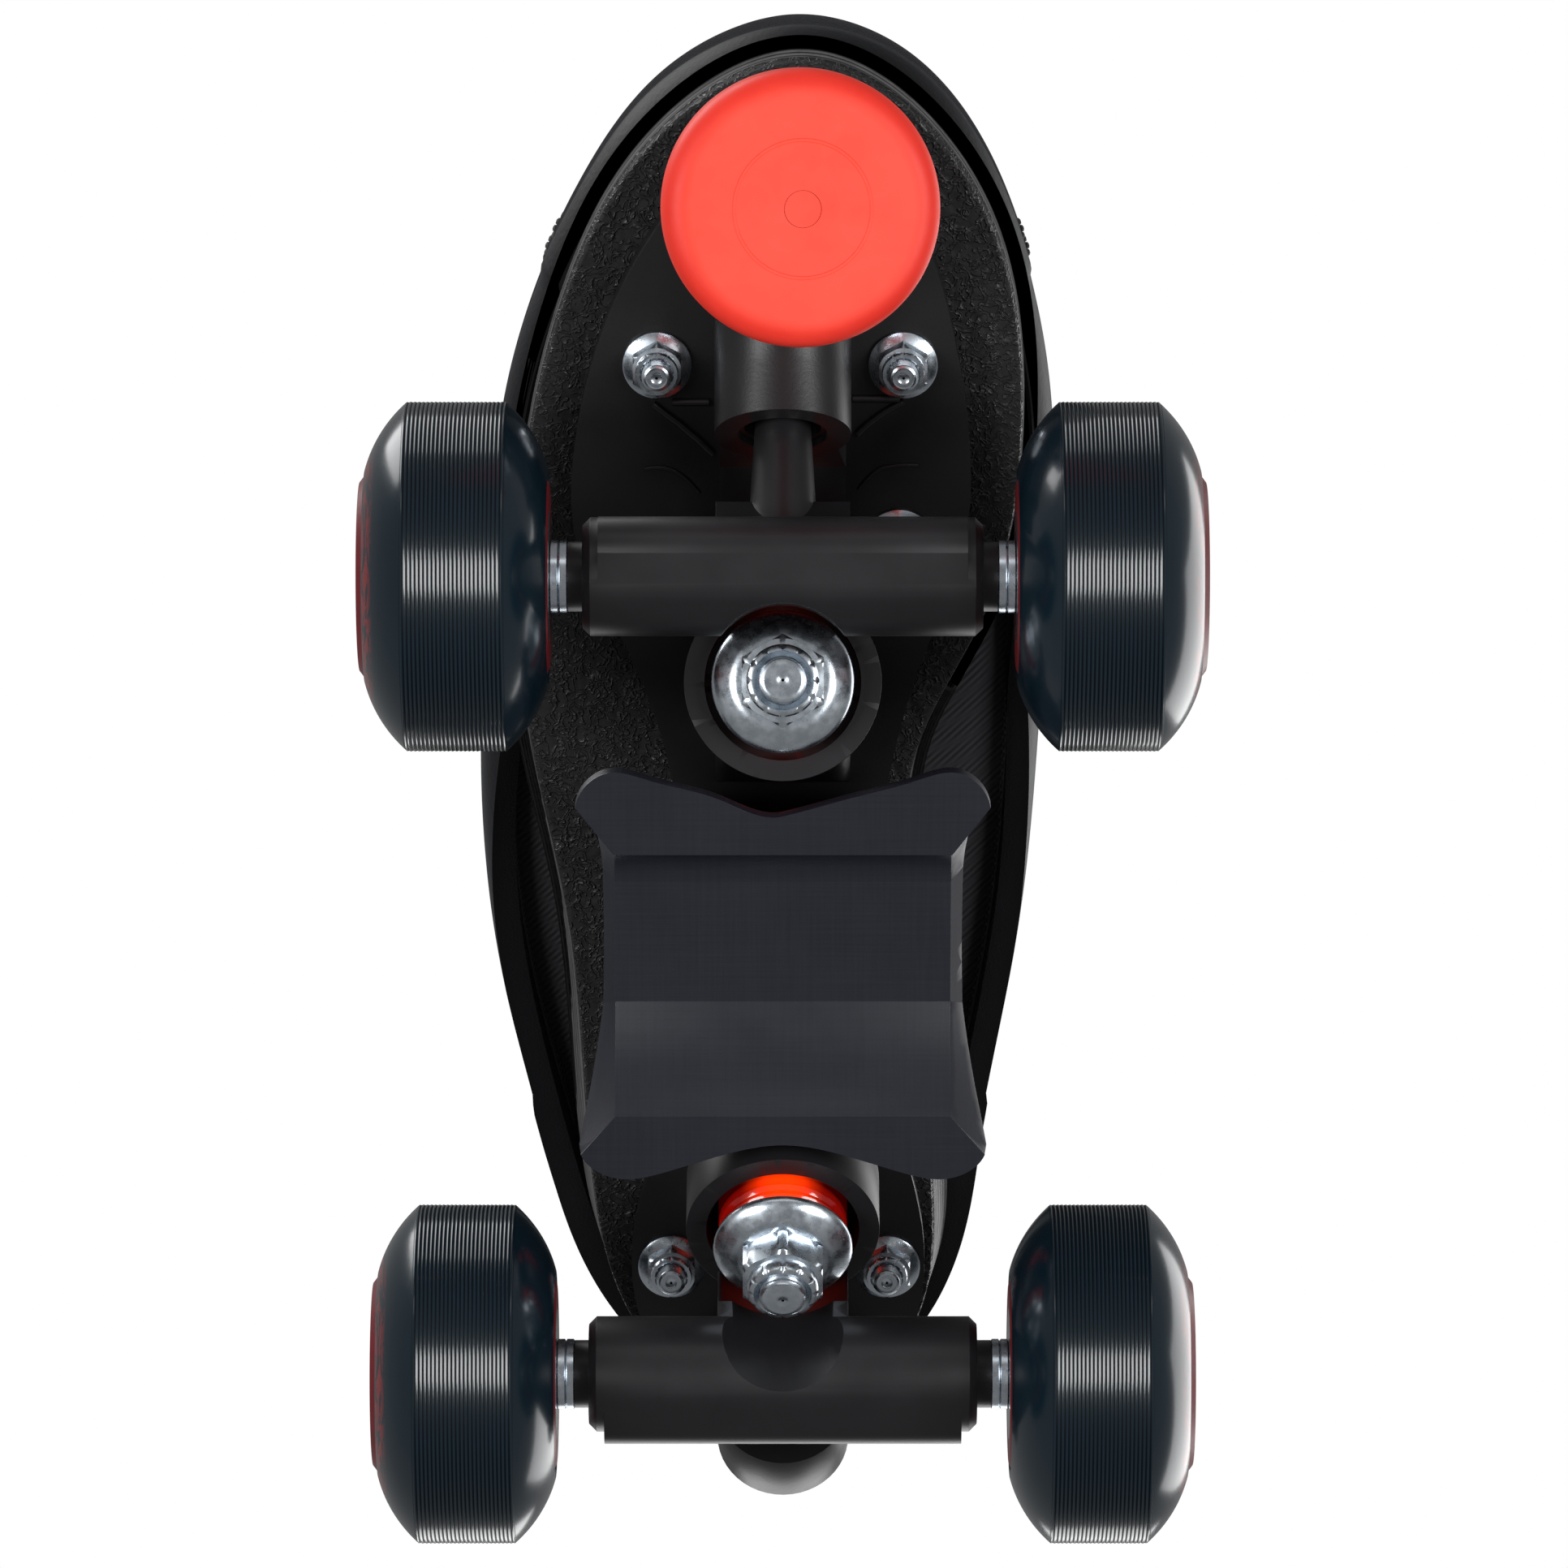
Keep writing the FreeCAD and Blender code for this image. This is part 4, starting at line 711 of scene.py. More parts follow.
def tyre_section():
    """(radius, distance outward) round the tyre's section, from the bore's inner edge."""
    arc = shoulder()
    section = [(CORE_RADIUS, -SEAT_HALF)] + [(radius, -out) for radius, out in reversed(arc)]
    steps = TREAD_RIDGES * 4
    for step in range(1, steps):
        wave = math.cos(2 * math.pi * TREAD_RIDGES * step / steps)
        section.append((WHEEL_RADIUS - RIDGE_DEPTH / 2 * (1 - wave),
                        -TREAD_HALF + 2 * TREAD_HALF * step / steps))
    return section + arc + [(CORE_RADIUS, SEAT_HALF)]


def make_tyres():
    section = tyre_section()
    segments = 120
    for end in ENDS.values():
        for side, side_name in SIDES.items():
            node = f"tyre_{end}_{side_name}"
            points, local = turned_points(section, middle(node), (side, 0, 0), segments)
            wheel_local = [(height, x, y) for x, y, height in local]
            add_piece(node + "_cast", points, grid_faces(len(section), segments, True, True), "urethane",
                      "wheel_urethane", body=f"{end}_{side_name}_wheel", replaces=(node,),
                      attributes={"wheel_local": wheel_local})


# ---------------------------------------------------------------- trucks

KINGPIN_TILT = math.radians(21)
WASHER_OUT = 20.35
WASHER_RIM_Z = 34.5
AXLE_Y = 71.05
# Stations on the kingpin: the washer's flat seat, where its nut begins, and the kingpin's threaded tip.
WASHER_SEAT = -3.0
KINGPIN_TIP = -12.6


def kingpin_axis(end):
    return Vector((0, -end * math.sin(KINGPIN_TILT), math.cos(KINGPIN_TILT)))


def station(end, height):
    """A point on the kingpin's line, this far above the cup washer's rim."""
    return place(0, end * (AXLE_Y - WASHER_OUT), WASHER_RIM_Z) + kingpin_axis(end) * height * MM


CUSHION_BORE = 4.3
LOWER_CUSHION_STATION = -1.4
UPPER_CUSHION_STATION = 16.3


def lower_cushion_section():
    """The lower cushion widens from its seat in the cup washer up to the yoke."""
    section = [(CUSHION_BORE, 0.0), (8.1, 0.0)]
    for step in range(33):
        height = 0.4 + 13.0 * step / 32
        swell = 8.6 + 2.0 * math.sin(math.pi * min(height / 9.0, 0.5))
        section.append((swell + 0.28 * math.cos(2 * math.pi * height / 1.9), height))
    return section + [(10.4, 13.7), (CUSHION_BORE, 13.7)]


def upper_cushion_section():
    """The upper cushion is a straight barrel."""
    section = [(CUSHION_BORE, 0.0), (10.8, 0.0)]
    for step in range(29):
        height = 0.4 + 13.2 * step / 28
        section.append((11.3 + 0.3 * math.cos(2 * math.pi * height / 2.2), height))
    return section + [(10.8, 14.0), (CUSHION_BORE, 14.0)]


def make_cushions():
    """Two ribbed cushions to a truck, one on each side of the hanger's yoke."""
    cushions = (("lower", lower_cushion_section(), LOWER_CUSHION_STATION),
                ("upper", upper_cushion_section(), UPPER_CUSHION_STATION))
    for end, name in ENDS.items():
        for level, section, height in cushions:
            turned_piece(f"{level}_cushion_{name}_ribbed", section, station(end, height), kingpin_axis(end),
                         "cushion", "red_urethane", replaces=(f"{level}_cushion_{name}",))


def make_cup_washers():
    """The pressed lower washers: a rolled rim, a domed shoulder and a flat seat for the nut."""
    section = [(4.1, 0.0), (7.4, 0.0), (8.2, 0.12), (8.9, 0.5), (9.6, 0.95), (10.5, 1.5), (11.2, 2.1),
               (11.6, 2.7), (11.75, 3.2), (11.65, 3.65), (11.3, 3.8), (10.7, 3.75), (10.2, 3.3), (9.3, 2.3),
               (8.4, 1.65), (4.1, 1.6)]
    for end, name in ENDS.items():
        turned_piece(f"lower_cup_washer_{name}_pressed", section, station(end, WASHER_SEAT),
                     kingpin_axis(end), "zinc", "zinc_plated_steel", replaces=(f"lower_cup_washer_{name}",))


def hex_reach(flats, limit):
    """The radius of a hexagon at an angle, cut back to a round of radius limit."""
    def reach(turn):
        within = (turn + math.pi / 6) % (math.pi / 3) - math.pi / 6
        return min(flats / 2 / math.cos(within), limit)
    return reach


CRIMP_COUNT = 12


def crimped(radius, depth):
    """A collar's edge with small crimp marks round it."""
    def reach(turn):
        return radius - depth * max(0.0, math.cos(CRIMP_COUNT * turn)) ** 6
    return reach


def thread_rings(radius, low, high, pitch, depth):
    """Rings for a threaded length, one ridge to each pitch."""
    rings = []
    count = int((high - low) / pitch)
    for step in range(count):
        start = low + step * pitch
        rings += [(radius - depth, start), (radius, start + 0.35 * pitch), (radius, start + 0.6 * pitch),
                  (radius - depth, start + 0.95 * pitch)]
    return rings


def lock_nut_rings(flats, hex_height, height, collar, bore, flange=None):
    """A self-locking nut from its seat up: chamfered hexagon, then the collar with its nylon ring."""
    corner = flats / math.sqrt(3)
    soft = flats / 2 * 1.03
    rings = [(bore, 0.0)]
    if flange:
        rings += [(flange - 0.15, 0.0), (flange, 0.25), (flange, 0.75), (flange - 0.4, 1.05),
                  (hex_reach(flats, corner), 1.5)]
    else:
        rings += [(hex_reach(flats, soft), 0.0), (hex_reach(flats, corner), 0.45)]
    rings += [(hex_reach(flats, corner), hex_height - 0.55), (hex_reach(flats, soft), hex_height),
              (collar, hex_height + 0.12), (collar, height - 0.75),
              (crimped(collar - 0.25, 0.35), height - 0.25), (crimped(collar - 0.7, 0.3), height),
              (bore + 0.9, height), (bore + 0.5, height - 0.35), (bore, height - 0.5)]
    return rings


def tip_rings(radius, length, pitch):
    """A threaded bolt end with a chamfer, turned rings on its face and a small centre mark."""
    face = [(0.25, 0.16), (0.75, 0.10), (0.95, 0.0), (radius * 0.35, 0.05), (radius * 0.48, 0.0),
            (radius * 0.62, 0.05), (radius * 0.72, 0.0), (radius - 0.75, 0.02), (radius - 0.35, 0.25)]
    return face + thread_rings(radius, 0.55, length, pitch, 0.30)


M8_PITCH = 1.25
M5_PITCH = 0.8


def make_kingpins():
    """The two kingpins, threaded where they stand out of their nuts, and those nuts."""
    for end, name in ENDS.items():
        axis = kingpin_axis(end)
        pin = tip_rings(3.95, 9.5, M8_PITCH)
        pin += [(3.9, 10.4), (3.9, 49.2), (6.4, 49.2), (6.4, 53.8), (0.25, 53.8)]
        turned_piece(f"kingpin_{name}_threaded", pin, station(end, KINGPIN_TIP), axis, "zinc",
                     "zinc_plated_steel", segments=60, replaces=(f"kingpin_{name}",))
        nut = lock_nut_rings(13.4, 5.4, 8.0, 5.95, 4.0)
        turned_piece(f"kingpin_nut_{name}_crimped", nut, station(end, WASHER_SEAT), -axis, "zinc",
                     "zinc_plated_steel", segments=144, replaces=(f"kingpin_nut_{name}",))


AXLE_NUT_HEIGHT = 5.4


def make_axle_nuts():
    """The self-locking nuts on both ends of each axle."""
    rings = lock_nut_rings(13.0, 3.8, AXLE_NUT_HEIGHT, 5.8, 4.02)
    for name in ENDS.values():
        low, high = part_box(f"axle_nuts_{name}")
        centre = middle(f"axle_nuts_{name}")
        groups = []
        for side in SIDES:
            outer = high[0] if side > 0 else low[0]
            base = Vector((outer - side * AXLE_NUT_HEIGHT * MM, centre.y, centre.z))
            groups.append(turned_group(rings, base, (side, 0, 0), 144))
        joined(f"axle_nuts_{name}_crimped", groups, "zinc", "zinc_plated_steel", body=f"{name}_truck",
               replaces=(f"axle_nuts_{name}",))


def make_axles():
    """Axles with threaded, chamfered ends."""
    for name in ENDS.values():
        low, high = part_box(f"axle_{name}")
        centre = middle(f"axle_{name}")
        length = (high[0] - low[0]) / MM
        start = tip_rings(3.98, 7.0, M8_PITCH)
        rings = start + [(3.98, 7.6), (3.98, length - 7.6)]
        rings += [(radius, length - height) for radius, height in reversed(start)]
        base = Vector((low[0], centre.y, centre.z))
        turned_piece(f"axle_{name}_threaded", rings, base, (1, 0, 0), "steel", "bearing_steel", segments=60,
                     body=f"{name}_truck", replaces=(f"axle_{name}",))


# ---------------------------------------------------------------- mounting bolts

PLATE_BOTTOM = 70.0
MOUNT_SPOTS = [(-20.9, -94.0), (20.0, -94.0), (-20.4, -61.4), (19.5, -62.9),
               (-19.2, 69.2), (17.9, 69.2), (-13.6, 86.0), (12.4, 86.0)]
NUT_HEIGHT = 5.6
TIP_REACH = 2.2


def make_mounts():
    """Eight flange lock nuts under the plate, and the bolt ends that stand out of them."""
    nuts = []
    bolts = []
    nut = lock_nut_rings(8.0, 4.1, NUT_HEIGHT, 3.55, 2.52, flange=5.75)
    bolt = tip_rings(2.5, 7.0, M5_PITCH) + [(2.5, 7.9), (2.5, 20.0), (0.25, 20.0)]
    down = Vector((0, 0, -1))
    for x, y in MOUNT_SPOTS:
        nuts.append(turned_group(nut, place(x, y, PLATE_BOTTOM), down, 96))
        tip = place(x, y, PLATE_BOTTOM - NUT_HEIGHT - TIP_REACH)
        bolts.append(turned_group(bolt, tip, -down, 48))
    joined("mount_flange_nuts_crimped", nuts, "zinc", "zinc_plated_steel", replaces=("mount_flange_nuts",))
    joined("mount_bolts_threaded", bolts, "zinc", "zinc_plated_steel", replaces=("mount_bolts",))


# Strengthening webs under the plate, from the front nuts to the spine, and two faint mould lines:
# ((x, y) points, width, depth).
WEB_LINES = [
    ([(-18.4, -87.5), (-12.3, -87.5)], 1.3, 1.1),
    ([(-21.6, -87.2), (-17.3, -83.9), (-14.0, -80.8), (-11.6, -78.4)], 1.2, 1.0),
    ([(11.6, -88.1), (19.5, -88.1)], 1.3, 1.1),
    ([(20.2, -87.5), (16.4, -85.4), (12.4, -81.9)], 1.2, 1.0),
    ([(-23.0, -75.6), (-18.0, -75.3), (-13.9, -71.4)], 0.7, 0.35),
    ([(12.6, -72.0), (16.0, -75.6), (22.6, -76.2)], 0.7, 0.35),
]


def make_webs():
    """The moulded webs and lines on the plate's underside."""
    groups = []
    for points, width, depth in WEB_LINES:
        shares = np.linspace(0, 1, 24)
        knots = np.linspace(0, 1, len(points))
        smoothed = np.polynomial.Polynomial.fit(knots, [y for _, y in points], min(2, len(points) - 1))
        xs = np.interp(shares, knots, [x for x, _ in points])
        line = np.column_stack([xs, smoothed(shares), np.full(len(shares), PLATE_BOTTOM)])
        groups.append(ribbon(line, line - (0, 0, 1), width, 2 * depth))
    joined("plate_webs", groups, "nylon", "black_nylon", sharp=PANEL_SHARP)


# ---------------------------------------------------------------- toe stop

STOP_FACE = (3.2, -138.5, 12.0)
STOP_RADIUS = 22.2
STOP_RIM = 3.8
STOP_FORWARD_TILT = math.radians(14)
STOP_INWARD_TILT = math.radians(4)


def stop_axis():
    """From the toe stop's face up into the plate."""
    return Vector((-math.tan(STOP_INWARD_TILT), math.tan(STOP_FORWARD_TILT), 1)).normalized()


def make_toe_stop():
    """The rubber stop: a slightly domed face with one plain ring moulded in, and a round rim."""
    section = [(3.0, 0.05), (9.4, 0.0), (10.6, 0.0), (10.8, 0.16), (11.1, 0.16), (11.3, 0.0), (15.0, 0.04),
               (STOP_RADIUS - STOP_RIM - 0.6, 0.12)]
    for step in range(13):
        turn = math.radians(90 * step / 12)
        section.append((STOP_RADIUS - STOP_RIM + STOP_RIM * math.sin(turn),
                        0.15 + STOP_RIM - STOP_RIM * math.cos(turn)))
    section += [(STOP_RADIUS, 8.0), (21.4, 12.0), (20.2, 17.0), (19.4, 20.2), (18.4, 21.0), (8.0, 21.0),
                (8.0, 14.0), (13.05, 14.0), (13.05, 11.0), (3.0, 11.0)]
    points, local = turned_points(section, place(*STOP_FACE), stop_axis(), 160)
    add_piece("toe_stop_moulded", points, grid_faces(len(section), 160, True, True), "stop",
              "orange_red_rubber", replaces=("toe_stop",), attributes={"stop_local": local})


# ---------------------------------------------------------------- sole

FLOOR_LINE = [(-160.0, 83.0), (-32.0, 83.0), (58.0, 98.0), (120.0, 99.0)]
SOLE_OUTLINE = [
    (3.2, -144.2), (-20.0, -132.2), (-36.9, -101.7), (-43.4, -72.0), (-41.9, -20.0), (-36.6, 8.0),
    (-32.6, 58.0), (-25.0, 84.0), (0.0, 101.0), (22.5, 84.0), (25.8, 58.0), (22.5, 18.0),
    (23.0, -24.0), (33.8, -47.0), (40.0, -84.0), (30.0, -125.2),
]
OUTSOLE_LOW, OUTSOLE_TOP = 76.0, 79.0
SOLE_GROWTH = 3.0
SOLE_GROWTH_TOP = 100.0
# Where one layer of the sole ends and the next begins.
LAYER_HEIGHTS = [79.0, 80.3, 81.6, 83.0, 86.2, 89.4, 92.6, 95.8, 99.2]


def floor_height(y):
    """The top of the midsole, which rises from the arch to the heel."""
    return np.interp(y, *zip(*FLOOR_LINE))


def between(share, start, out, finish, into):
    """The cubic from start to finish that leaves with the slope out and arrives with the slope into."""
    square, cube = share ** 2, share ** 3
    return ((2 * cube - 3 * square + 1) * start + (cube - 2 * square + share) * out
            + (3 * square - 2 * cube) * finish + (cube - square) * into)


def closed_curve(points, parts):
    """A smooth closed curve through the points, each span divided into parts."""
    points = np.array(points, dtype=float)
    count = len(points)
    chord = np.linalg.norm(np.roll(points, -1, 0) - points, axis=1)
    rise = (np.roll(points, -1, 0) - points) / chord[:, None]
    system = np.zeros((count, count))
    right = np.zeros_like(points)
    for index in range(count):
        before, after = chord[index - 1], chord[index]
        system[index, index - 1] += after
        system[index, index] += 2 * (before + after)
        system[index, (index + 1) % count] += before
        right[index] = 3 * (after * rise[index - 1] + before * rise[index])
    slopes = np.linalg.solve(system, right)
    share = (np.arange(parts) / parts)[None, :, None]
    start, finish = points[:, None], np.roll(points, -1, 0)[:, None]
    out = slopes[:, None] * chord[:, None, None]
    into = np.roll(slopes, -1, 0)[:, None] * chord[:, None, None]
    return between(share, start, out, finish, into).reshape(count * parts, -1)


def outward_normals(outline):
    """Unit normals of a closed plan outline that point away from it."""
    along = np.roll(outline, -1, 0) - np.roll(outline, 1, 0)
    normals = np.stack([along[:, 1], -along[:, 0]], axis=1)
    normals /= np.linalg.norm(normals, axis=1)[:, None]
    outward = np.mean(np.sum(normals * (outline - outline.mean(axis=0)), axis=1)) > 0
    return normals if outward else -normals


# One layer's edge from its foot up: (share of the layer, bulge, how strong the painted grey highlight on its
# ground edge is).
LAYER_EDGE = [(0.0, -0.38, 0.0), (0.12, 0.0, 0.9), (0.3, 0.10, 1.0), (0.5, 0.12, 0.25), (0.8, 0.08, 0.0),
              (0.95, -0.15, 0.0)]


def make_midsole():
    """The stack of layers between the outsole and the upper, each with a ground, rounded edge."""
    outline = closed_curve(SOLE_OUTLINE, 36)
    normals = outward_normals(outline)
    rows = [(low + (high - low) * share, bulge, line)
            for low, high in zip(LAYER_HEIGHTS, LAYER_HEIGHTS[1:]) for share, bulge, line in LAYER_EDGE]
    rows.append((LAYER_HEIGHTS[-1], -0.3, 0.0))
    points = []
    shade = []
    for height, bulge, line in rows:
        growth = SOLE_GROWTH * (height - OUTSOLE_TOP) / (SOLE_GROWTH_TOP - OUTSOLE_TOP)
        ring = outline + normals * (growth + bulge)
        tops = floor_height(ring[:, 1])
        for (x, y), top in zip(ring, tops):
            points.append(place(x, y, min(height, top)))
            # The painted grey highlight is kept only where a layer's edge shows below the top of the midsole.
            shade.append(line if height < top else 0.0)
    add_piece("midsole_layers", points, capped_faces(len(rows), len(outline)), "layers", "layered_sole",
              replaces=("midsole",), attributes={"layer_edge_highlight": shade})


WRINKLE_DEPTH = 0.34
WRINKLE_BAND = 27.0
WRINKLE_START = 0.7
WRINKLE_STEPS = 46
# The plain edge of the outsole: (inset, height).
OUTSOLE_EDGE = [(-0.25, OUTSOLE_TOP), (0.0, 78.6), (0.0, 76.7), (0.25, 76.2)]


def wrinkle(x, y):
    """The height, 0 to 1, of the moulded wrinkles at a point of the outsole."""
    spot = Vector((x * 0.62, y * 0.62, 3.0))
    shift = noise.noise_vector(spot * 0.8) * 0.9
    ridge = 1.0 - abs(noise.noise(spot + shift)) * 3.2
    fine = noise.noise(spot * 3.1)
    return min(1.0, max(0.0, 0.75 * max(0.0, ridge) + 0.25 * fine + 0.1))


def make_outsole():
    """The rubber outsole: a wrinkled moulding inside a plain edge."""
    outline = closed_curve(SOLE_OUTLINE, 60)
    normals = outward_normals(outline)
    points = []
    heights = []
    for inset, z in OUTSOLE_EDGE:
        ring = outline - normals * inset
        points += [place(x, y, z) for x, y in ring]
        heights += [0.35] * len(ring)
    for step in range(WRINKLE_STEPS):
        inset = WRINKLE_START + (WRINKLE_BAND - WRINKLE_START) * step / (WRINKLE_STEPS - 1)
        ring = outline - normals * inset
        for x, y in ring:
            height = wrinkle(x, y) if step else 0.4
            points.append(place(x, y, OUTSOLE_LOW + WRINKLE_DEPTH * (1 - height)))
            heights.append(height)
    faces = grid_faces(len(OUTSOLE_EDGE) + WRINKLE_STEPS, len(outline), wrap_columns=True)
    faces.append(tuple(range(len(outline))))
    add_piece("outsole_wrinkled", points, faces, "outsole", "black_rubber", replaces=("outsole",),
              attributes={"wrinkle": heights}, sharp=math.radians(80))


# ---------------------------------------------------------------- boot

# Outline of the foot at its widest level: toe, lateral side, heel, medial side.
FOOT_OUTLINE = [
    (2.7, -147.7), (-14.9, -142.0), (-27.4, -130.0), (-38.5, -110.0), (-46.3, -87.0), (-51.0, -40.0),
    (-49.9, 11.0), (-41.0, 56.8), (-29.6, 88.0), (0.0, 108.0), (25.8, 88.0), (33.6, 56.8), (40.8, 11.0),
    (44.4, -38.0), (45.6, -84.0), (40.3, -110.0), (31.3, -130.0), (20.0, -142.0),
]
FOOT_TOE, FOOT_HEEL = -147.7, 108.0
HEEL_SPAN = 9
SPAN_PARTS = 20
COLUMNS = len(FOOT_OUTLINE) * SPAN_PARTS

# (height, front, back, width scale, how far the section has become an oval, oval half width)
UPPER_LEVELS = np.array([
    (80.0, -140.5, 100.0, 0.88, 0.0, 30.0),
    (86.0, -144.6, 104.5, 0.965, 0.0, 30.0),
    (95.0, -146.5, 107.8, 1.0, 0.0, 30.0),
    (108.0, -143.2, 109.0, 0.97, 0.05, 33.0),
    (121.0, -136.5, 109.0, 0.88, 0.2, 34.0),
    (133.0, -120.0, 108.0, 0.82, 0.45, 35.0),
    (146.0, -92.0, 106.0, 0.82, 0.7, 36.5),
    (162.0, -62.0, 103.0, 0.82, 0.9, 38.0),
    (182.0, -37.0, 100.0, 0.82, 1.0, 39.5),
    (204.0, -24.0, 100.5, 0.82, 1.0, 41.5),
    (226.0, -21.0, 104.0, 0.82, 1.0, 43.5),
    (250.0, -24.0, 108.0, 0.82, 1.0, 45.0),
])
# The cuff's height along the boot: (y, height).
CUFF_LINE = [(-60.0, 231.0), (-20.0, 229.0), (8.0, 225.5), (35.0, 219.0), (60.0, 216.0), (85.0, 218.5),
             (110.0, 223.0)]
SHELL_THICKNESS = 3.8
# Heights at which the boot's plan is read for its lower rim and for its cuff.
RIM_LEVEL = 84.0
CUFF_LEVEL = 222.0


def smooth_step(value, width=1.0):
    """From 0 to 1 as value goes from -width/2 to width/2."""
    share = np.clip(value / width + 0.5, 0.0, 1.0)
    return share * share * (3 - 2 * share)


def level_at(height):
    """The level table's row at any height, on a smooth curve through its rows."""
    heights = UPPER_LEVELS[:, 0]
    values = UPPER_LEVELS[:, 1:]
    slopes = np.gradient(values, heights, axis=0)
    index = int(np.clip(np.searchsorted(heights, height) - 1, 0, len(heights) - 2))
    gap = heights[index + 1] - heights[index]
    share = (height - heights[index]) / gap
    return between(share, values[index], gap * slopes[index], values[index + 1], gap * slopes[index + 1])


def boot_outline(height):
    """The boot's plan outline at a height, from its toe round the lateral side."""
    front, back, scale, oval, oval_half = level_at(height)
    corners = []
    for x, y in FOOT_OUTLINE:
        part = (y - FOOT_TOE) / (FOOT_HEEL - FOOT_TOE)
        oval_x = math.copysign(oval_half * math.sqrt(max(0.0, 1 - (2 * part - 1) ** 2)), x)
        corners.append((x * scale * (1 - oval) + oval_x * oval, front + (back - front) * part))
    return closed_curve(corners, SPAN_PARTS)


BOOT_HEIGHTS = np.arange(80.0, 249.0, 1.0)
BOOT_SKIN = np.array([np.column_stack([boot_outline(height), np.full(COLUMNS, height)])
                      for height in BOOT_HEIGHTS])


def skin_normals():
    """The outward normal at each point of the skin table."""
    along = np.roll(BOOT_SKIN, -1, 1) - np.roll(BOOT_SKIN, 1, 1)
    upward = np.gradient(BOOT_SKIN, axis=0)
    normals = np.cross(upward, along)
    normals /= np.linalg.norm(normals, axis=2)[:, :, None]
    return normals


BOOT_NORMALS = skin_normals()


def on_boot(column, height, lift=0.0):
    """Points on the boot's outer skin, lifted along its normal, in chassis millimetres."""
    column, height, lift = np.broadcast_arrays(np.asarray(column, float), np.asarray(height, float),
                                               np.asarray(lift, float))
    level = np.clip(height - BOOT_HEIGHTS[0], 0, len(BOOT_HEIGHTS) - 1.001)
    low = level.astype(int)
    share_up = (level - low)[..., None]
    left = np.floor(column).astype(int)
    share_on = (column - left)[..., None]
    left, right = left % COLUMNS, (left + 1) % COLUMNS

    def sampled(table):
        below = table[low, left] * (1 - share_on) + table[low, right] * share_on
        above = table[low + 1, left] * (1 - share_on) + table[low + 1, right] * share_on
        return below * (1 - share_up) + above * share_up

    points = sampled(BOOT_SKIN)
    points[..., 2] = height
    return points + sampled(BOOT_NORMALS) * lift[..., None]


FRONT_COLUMNS = np.arange(-5 * SPAN_PARTS, 5 * SPAN_PARTS + 1)


def front_column(x, height):
    """The column of the boot's front that lies at x at this height."""
    across = on_boot(FRONT_COLUMNS, height)[:, 0]
    order = np.argsort(across)
    return np.interp(x, across[order], FRONT_COLUMNS[order])


def side_column(side, y, height):
    """The column on one side of the boot (+1 medial, -1 lateral) that lies at y at this height."""
    columns = np.arange(HEEL_SPAN * SPAN_PARTS + 1)
    if side > 0:
        columns = COLUMNS - columns
    along = on_boot(columns, height)[:, 1]
    return np.interp(y, np.maximum.accumulate(along), columns)


def cuff_height(y):
    return np.interp(y, *zip(*CUFF_LINE))


def run_along(line):
    """How far each point of a line is from its start, along it."""
    steps = np.linalg.norm(np.diff(line, axis=0), axis=1)
    return np.concatenate([[0.0], np.cumsum(steps)])


# How far it is along the middle of the boot's front, from the toe up, at each height.
FRONT_RUN = run_along(on_boot([front_column(0.0, height) for height in BOOT_HEIGHTS], BOOT_HEIGHTS))


def run_at(height):
    return np.interp(height, BOOT_HEIGHTS, FRONT_RUN)


def height_at(run):
    return np.interp(run, FRONT_RUN, BOOT_HEIGHTS)


THROAT_HALF = 15.0
THROAT_BOTTOM = run_at(146.0)
THROAT_CENTRE = THROAT_BOTTOM + THROAT_HALF


def throat_edge(height):
    """Half the width of the throat at a height: a slot with a round lower end."""
    below = THROAT_CENTRE - run_at(height)
    if below <= 0:
        return THROAT_HALF
    return math.sqrt(max(0.0, THROAT_HALF ** 2 - below ** 2))


def front_point(x, run, lift):
    """A point on the boot's front, x from the middle and run along it from the toe."""
    height = float(height_at(run))
    return on_boot(front_column(x, height), height, lift)


# Where each panel's seam lies along the boot at a height.
def toe_seam(z):
    return -103.0 - 0.10 * (z - RIM_LEVEL)


def quarter_seam(z):
    return -50.0 - 0.47 * (z - RIM_LEVEL)


def counter_seam(z):
    return 48.0 + 54.0 * (np.clip(z - RIM_LEVEL, 0, None) / 74.0) ** 2


BAND_HEIGHT = 9.0
PANEL = 0.6
BASE_LIFT = -0.5


def relief(points):
    """How far the panels, padding and creases stand out from the boot's plain skin."""
    x, y, z = points[..., 0], points[..., 1], points[..., 2]
    out = BASE_LIFT + PANEL * smooth_step(toe_seam(z) - y)
    out = out + PANEL * smooth_step(y - quarter_seam(z))
    out = out + PANEL * smooth_step(y - counter_seam(z)) * smooth_step(157.0 - z, 3.0)
    out = out + PANEL * smooth_step(11.0 - np.abs(x)) * smooth_step(y - 60.0, 10.0)
    out = out + 0.4 * smooth_step(floor_height(y) + BAND_HEIGHT - z)
    ankle = np.exp(-((z - 194.0) / 17.0) ** 2 - ((y - 42.0) / 34.0) ** 2)
    flex = np.exp(-((z - 133.0) / 12.0) ** 2 - ((y + 84.0) / 15.0) ** 2)
    out = out + 1.9 * ankle + 0.5 * flex * np.sin((y - 0.25 * z) * 0.62)
    return out


def soft_bumps(points, size, depth):
    """Slow, uneven swelling of leather or padding."""
    values = [noise.noise(Vector(point) / size) for point in points.reshape(-1, 3)]
    return depth * np.array(values).reshape(points.shape[:-1])


